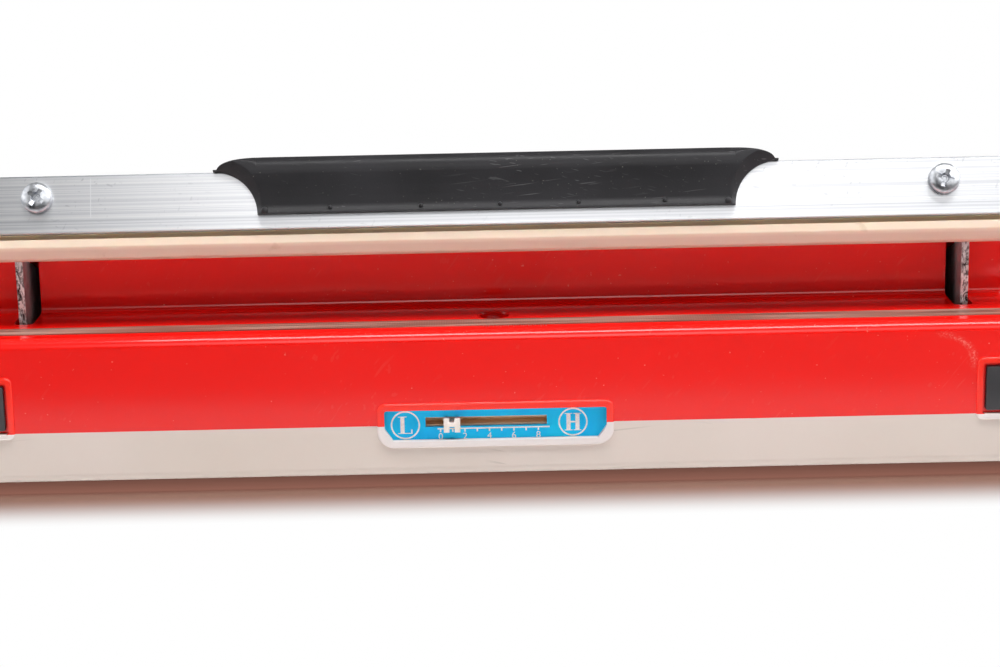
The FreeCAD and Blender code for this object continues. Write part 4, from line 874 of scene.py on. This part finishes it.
black_grip, tree, shader, place = finish("black_grip", Specular_IOR_Level=0.35)
skin = use(tree, moulded, place, Peel=1500.0, Drift=40.0)
marks = use(tree, hairlines, place, Fineness=1500.0, Slant=0.12)["Mask"]
dust = ramp(tree, noise(tree, place, 1500.0, Detail=1.0), (0.0, 0), (0.74, 0), (0.8, 0.6))
tone = ramp(tree, skin["Tone"], (0.3, "#1B1A1C"), (0.7, "#232225"))
wire_up(tree, shader, blend(tree, dust, blend(tree, marks, tone, "#4E4C4E"), "#77726C"),
        ramp(tree, skin["Tone"], (0.3, 0.42), (0.7, 0.54)), skin["Height"], 0.1 * mm, 0.25)

cove_stations = 40
foot_stations = 120
sweep = tip_x - cove_run * np.cos(np.linspace(0, np.pi / 2, cove_stations))
half = np.concatenate([np.linspace(0, foot_x, foot_stations)[1:-1], sweep])
stations = np.concatenate([-half[::-1], [0.0], half])
saddle = grip_section(stations) + np.array([grip_middle, 0.0, 0.0])
grip = ring_mesh("grip_saddle", swung(saddle, -swing), black_grip, sharp=40.0)
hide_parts("handle_grip")
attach(grip, "pressing_arm")

dome_rings = 9
dome_sides = 20
dome_start = 0.02


def domes(name, places, radius, rise):
    """Low round domes on the front of the grip lip: z and x from a circle of the radius, standing
    out by rise times the square root of one less the squared share of the radius."""
    ring_share = np.sin(np.linspace(dome_start, np.pi / 2, dome_rings))
    angle = np.linspace(0, 2 * np.pi, dome_sides, endpoint=False)
    round_x = radius * np.outer(ring_share, np.cos(angle))
    round_z = radius * np.outer(ring_share, np.sin(angle))
    out = rise * np.sqrt(np.clip(1 - ring_share ** 2, 0, 1))
    out_y = np.repeat(out[:, None], dome_sides, 1)
    for number, (x, y, z) in enumerate(places):
        rings = np.stack([x + round_x, y - out_y, z + round_z], 2)
        dome = ring_mesh("%s_%d" % (name, number), swung(rings, -swing), black_grip)
        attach(dome, "pressing_arm")


lip_face = face_y - 2.75 * mm
pinch_x = grip_middle + np.array([-50.0, -22.7, 1.0, 24.7, 50.5]) * mm
pinch_y = lip_face + 0.35 * mm
pinch_z = lip_z + 1.5 * mm
boss_x = grip_middle + np.array([-69.6, 69.6]) * mm
boss_z = lip_z + 1.0 * mm
domes("grip_pinch", [(x, pinch_y, pinch_z) for x in pinch_x], radius=0.7 * mm, rise=0.8 * mm)
domes("grip_boss", [(x, lip_face, boss_z) for x in boss_x], radius=1.05 * mm, rise=0.7 * mm)


# Arm screws
# Zinc-plated pan screws with a cross recess, driven through the channel into the lever flanges.

screw_points = closed_points("arm_screws")
screw_right = screw_points[screw_points[:, 0] > 0]
screw_low = screw_right.min(0)
screw_high = screw_right.max(0)
screw_x = (screw_low[0] + screw_high[0]) / 2
screw_z = (screw_low[2] + screw_high[2]) / 2
head_radius = (screw_high[0] - screw_low[0]) / 2
head_height = face_y - screw_low[1]
head_sides = 288
cap_share = 0.58
cap_power = 2.6
cap_reach = 0.985
rim_share = 0.12
recess_half = 2.7 * mm
recess_slot = 0.64 * mm
recess_deep = 1.9 * mm
slot_draft = 0.16 * mm
slot_flat = 0.4 * mm
hub_radius = 1.5 * mm
hub_draft = 0.5 * mm
hub_share = 0.9
shank_radius = 2.5 * mm
shank_rows = 150
shank_sides = 40
thread_height = 0.28 * mm
thread_lead = 0.8 * mm
point_run = 1.2 * mm
point_share = 0.35


def pan_head(turn):
    """Head as heights over a disc: a domed cap with a rolled rim, less a cross recess whose two
    slots narrow with depth; turn is the angle at which the screw stopped."""
    over_recess = np.linspace(0.01, 0.68, 70)
    over_rim = np.linspace(0.69, 1.0, 22)
    share = np.concatenate([over_recess, over_rim])
    angle = np.linspace(0, 2 * np.pi, head_sides, endpoint=False)
    radius = head_radius * share[:, None]
    cap = np.sqrt(np.clip(1 - (share * cap_reach) ** cap_power, 0, 1))
    dome = head_height * (1 - cap_share + cap_share * cap)
    a = radius * np.cos(angle + turn)
    b = radius * np.sin(angle + turn)

    def slot(across, ahead):
        """Depth of one slot as a share: full along its middle, falling to its sides and ends."""
        side = np.clip((recess_slot - np.abs(across)) / slot_draft, 0, 1)
        end = np.clip((recess_half - np.abs(ahead)) / (recess_half - slot_flat), 0, 1)
        return np.minimum(side, end)

    hub = np.clip((hub_radius - np.hypot(a, b)) / hub_draft, 0, 1) * hub_share
    cut = np.maximum(np.maximum(slot(a, b), slot(b, a)), hub)
    side = np.outer([rim_share * head_height, 0.0], np.ones_like(angle))
    heights = np.vstack([dome[:, None] - recess_deep * cut, side])
    radii = head_radius * np.append(share, [1.0, 1.0])
    return np.outer(radii, np.cos(angle)), -heights, np.outer(radii, np.sin(angle))


def threaded_shank(length):
    """Shank with a rolled thread: the radius rises and falls as a triangle wave of the place along
    it less the turn, and narrows at the point."""
    along_shank = np.linspace(0, length, shank_rows)[:, None]
    angle = np.linspace(0, 2 * np.pi, shank_sides, endpoint=False)
    phase = (along_shank / thread_lead - angle / (2 * np.pi)) % 1.0
    radius = shank_radius - thread_height * (1 - np.abs(2 * phase - 1))
    radius = radius * np.clip((length - along_shank) / point_run, point_share, 1)
    return radius * np.cos(angle), np.repeat(along_shank, shank_sides, 1), radius * np.sin(angle)


shank = threaded_shank(screw_high[1] - face_y)
for label, side, turn in (("left", -1, 0.62), ("right", 1, 0.35)):
    for part, (x, y, z) in (("head", pan_head(turn)), ("shank", shank)):
        rings = np.stack([side * screw_x + x, face_y + y, screw_z + z], 2)
        piece = ring_mesh("%s_screw_%s" % (label, part), swung(rings, -swing), zinc_steel)
        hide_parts("arm_screws")
        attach(piece, "pressing_arm")


# Studio
# A white sweep under soft light from above, with a warm shadow painted on it along the front of the
# tray, and a long lens a little above the object, tipped so that the object's long lines rise to
# the right.

def layer(tree, share, first, second):
    """Goes from a first shader to a second as the share grows."""
    return put(tree, "ShaderNodeMixShader", {0: share, 1: first, 2: second}).outputs[0]


def glow(tree, colour, strength=1.0):
    """Even light of one colour."""
    return put(tree, "ShaderNodeEmission", {"Color": colour, "Strength": strength}).outputs[0]


paper, tree, shader, place = finish("paper", Roughness=0.9, Specular_IOR_Level=0.1)
seen = put(tree, "ShaderNodeLightPath").outputs
rearward = axes(tree, place)["Y"]
# The paper itself: for the camera's rays a painted shadow tone, warm, and darker just in front of
# the tray; plain grey for every other ray.
in_front = span(tree, rearward, -40.0 * mm, -15.0 * mm, 1.0, 0.0)
painted_shadow_tone = blend(tree, in_front, "#988A82", "#826357")
card = blend(tree, seen["Is Camera Ray"], grey(0.86), painted_shadow_tone)
tree.links.new(card, shader.inputs["Base Color"])
# Under the front of the tray a warm glow stands in for the shadow, a painted shadow, and away from
# it the paper is white.
beyond = vector(tree, "SUBTRACT", vector(tree, "ABSOLUTE", place), tuple(cad_box[1]))
past = axes(tree, beyond)
covered = span(tree, calc(tree, "MAXIMUM", past["X"], past["Y"]), -4.0 * mm, 1.0 * mm, 1.0, 0.0)
painted_shadow = calc(tree, "MULTIPLY", covered, in_front)
painted_shadow_share = calc(tree, "MULTIPLY", seen["Is Camera Ray"], painted_shadow)
shadow_painted = layer(tree, painted_shadow_share, shader.outputs[0], glow(tree, "#8E6053"))
away = vector(tree, "LENGTH", vector(tree, "MAXIMUM", beyond, (0.0, 0.0, 0.0)))
fade = span(tree, away, 2.0 * mm, 30.0 * mm, curve="SMOOTHSTEP")
white_share = calc(tree, "MULTIPLY", seen["Is Camera Ray"], fade)
lit = layer(tree, white_share, shadow_painted, glow(tree, grey(1.0)))
# Reflections find the paper dark near the lens, and from below it is clear.
near = calc(tree, "MULTIPLY", seen["Is Glossy Ray"], span(tree, rearward, -0.16, -0.13, 1.0, 0.0))
dusk = span(tree, rearward, -0.27, -0.16, 0.02, 0.22)
mirrored = layer(tree, near, lit, glow(tree, grey(1.0), dusk))
under = put(tree, "ShaderNodeNewGeometry").outputs["Backfacing"]
clear = put(tree, "ShaderNodeBsdfTransparent").outputs[0]
tree.links.new(layer(tree, under, mirrored, clear), tree.nodes["Material Output"].inputs["Surface"])

left_x, near_y, right_x, far_y = -3.0, -3.0, 3.0, 4.0
floor = mesh_piece("floor", [(left_x, near_y, 0.0), (right_x, near_y, 0.0),
                             (right_x, far_y, 0.0), (left_x, far_y, 0.0)], [(0, 1, 2, 3)], paper)

world = bpy.data.worlds.new("studio")
bpy.context.scene.world = world
world.use_nodes = True
tree = world.node_tree
seen = put(tree, "ShaderNodeLightPath").outputs
way = axes(tree, put(tree, "ShaderNodeTexCoord").outputs["Generated"])
room = ramp(tree, way["Z"], (0.0, 0.05), (0.35, 0.1), (0.8, 0.3), (1.0, 0.35))
side_panels = ramp(tree, calc(tree, "ABSOLUTE", way["X"]), (0.45, 0.0), (0.75, 1.0))
panels = calc(tree, "MULTIPLY_ADD", side_panels, 1.8, room)
card_rise = ramp(tree, way["Z"], (0.22, 0.0), (0.34, 1.0), (0.6, 1.0), (0.75, 0.0))
card_left = span(tree, way["X"], -0.22, -0.03, 0.0, 3.5)
card_right = span(tree, way["X"], 0.03, 0.2, 1.0, 0.46)
card_front = calc(tree, "LESS_THAN", way["Y"], 0.0)
card = calc(tree, "MULTIPLY", calc(tree, "MULTIPLY", card_left, card_right), card_front)
around = calc(tree, "MULTIPLY_ADD", card_rise, card, panels)
mirror = calc(tree, "MAXIMUM", seen["Is Glossy Ray"], seen["Is Transmission Ray"])
fill = blend(tree, mirror, 0.1, around, "FLOAT")
backdrop = tree.nodes["Background"]
backdrop.inputs["Color"].default_value = grey(1.0)
tree.links.new(calc(tree, "MAXIMUM", fill, seen["Is Camera Ray"]), backdrop.inputs["Strength"])


def set_up(thing, name, eye, gaze, roll=0.0):
    """Puts a light or camera at a place, looking along a direction: its width level but for a roll,
    and its upright square to both."""
    made = bpy.data.objects.new(name, thing)
    bpy.context.scene.collection.objects.link(made)
    ahead = np.array(gaze) / np.linalg.norm(gaze)
    level = np.array([1.0, 0.0, 0.0])
    level = level - ahead * (level @ ahead)
    level = level / np.linalg.norm(level)
    above = np.cross(level, ahead)
    right = level * math.cos(roll) - above * math.sin(roll)
    up = above * math.cos(roll) + level * math.sin(roll)
    turn = np.identity(4)
    turn[:3] = np.stack([right, up, -ahead, np.array(eye)], 1)
    made.matrix_world = Matrix(turn.tolist())
    return made


def softbox(name, eye, aim, size, power):
    """Rectangular studio light at a place, facing a point."""
    lamp = bpy.data.lights.new(name, "AREA")
    lamp.shape = "RECTANGLE"
    lamp.size, lamp.size_y = size
    lamp.energy = power
    return set_up(lamp, name, eye, np.array(aim) - np.array(eye))


softbox("top_box", (0.4, -0.27, 0.95), (0.4, -0.08, 0.05), (1.3, 0.25), 10.1)
# These light the object and leave no reflection on it; the last lights the paper in front of it.
unseen = [
    softbox("left_box", (-0.45, -0.27, 0.95), (-0.45, -0.08, 0.05), (0.4, 0.25), 2.8),
    softbox("left_rear", (-0.5, -0.03, 0.8), (-0.12, -0.02, 0.06), (0.3, 0.3), 1.8),
    softbox("right_rear", (0.5, -0.03, 0.8), (0.12, -0.02, 0.06), (0.3, 0.3), 1.3),
    softbox("front_fill", (0.0, -1.1, 0.16), (0.0, -0.03, 0.05), (1.4, 0.25), 0.1),
    softbox("floor_wash", (0.0, -0.42, 0.6), (0.0, -0.42, 0.0), (1.4, 0.2), 4.5),
]
unseen[-1].data.spread = math.radians(40.0)
for lamp in unseen:
    lamp.visible_glossy = False

lens = bpy.data.cameras.new("camera")
lens.lens = 83.3
lens.sensor_width = 36.0
camera_aim = np.array([1.9, -44.2, 47.95]) * mm
camera_distance = 692.0 * mm
camera_height = math.radians(14.0)
camera_roll = math.radians(1.23)
gaze = np.array([0.0, math.cos(camera_height), -math.sin(camera_height)])
camera_place = camera_aim - gaze * camera_distance
bpy.context.scene.camera = set_up(lens, "camera", camera_place, gaze, camera_roll)
bpy.context.scene.view_settings.view_transform = "Standard"
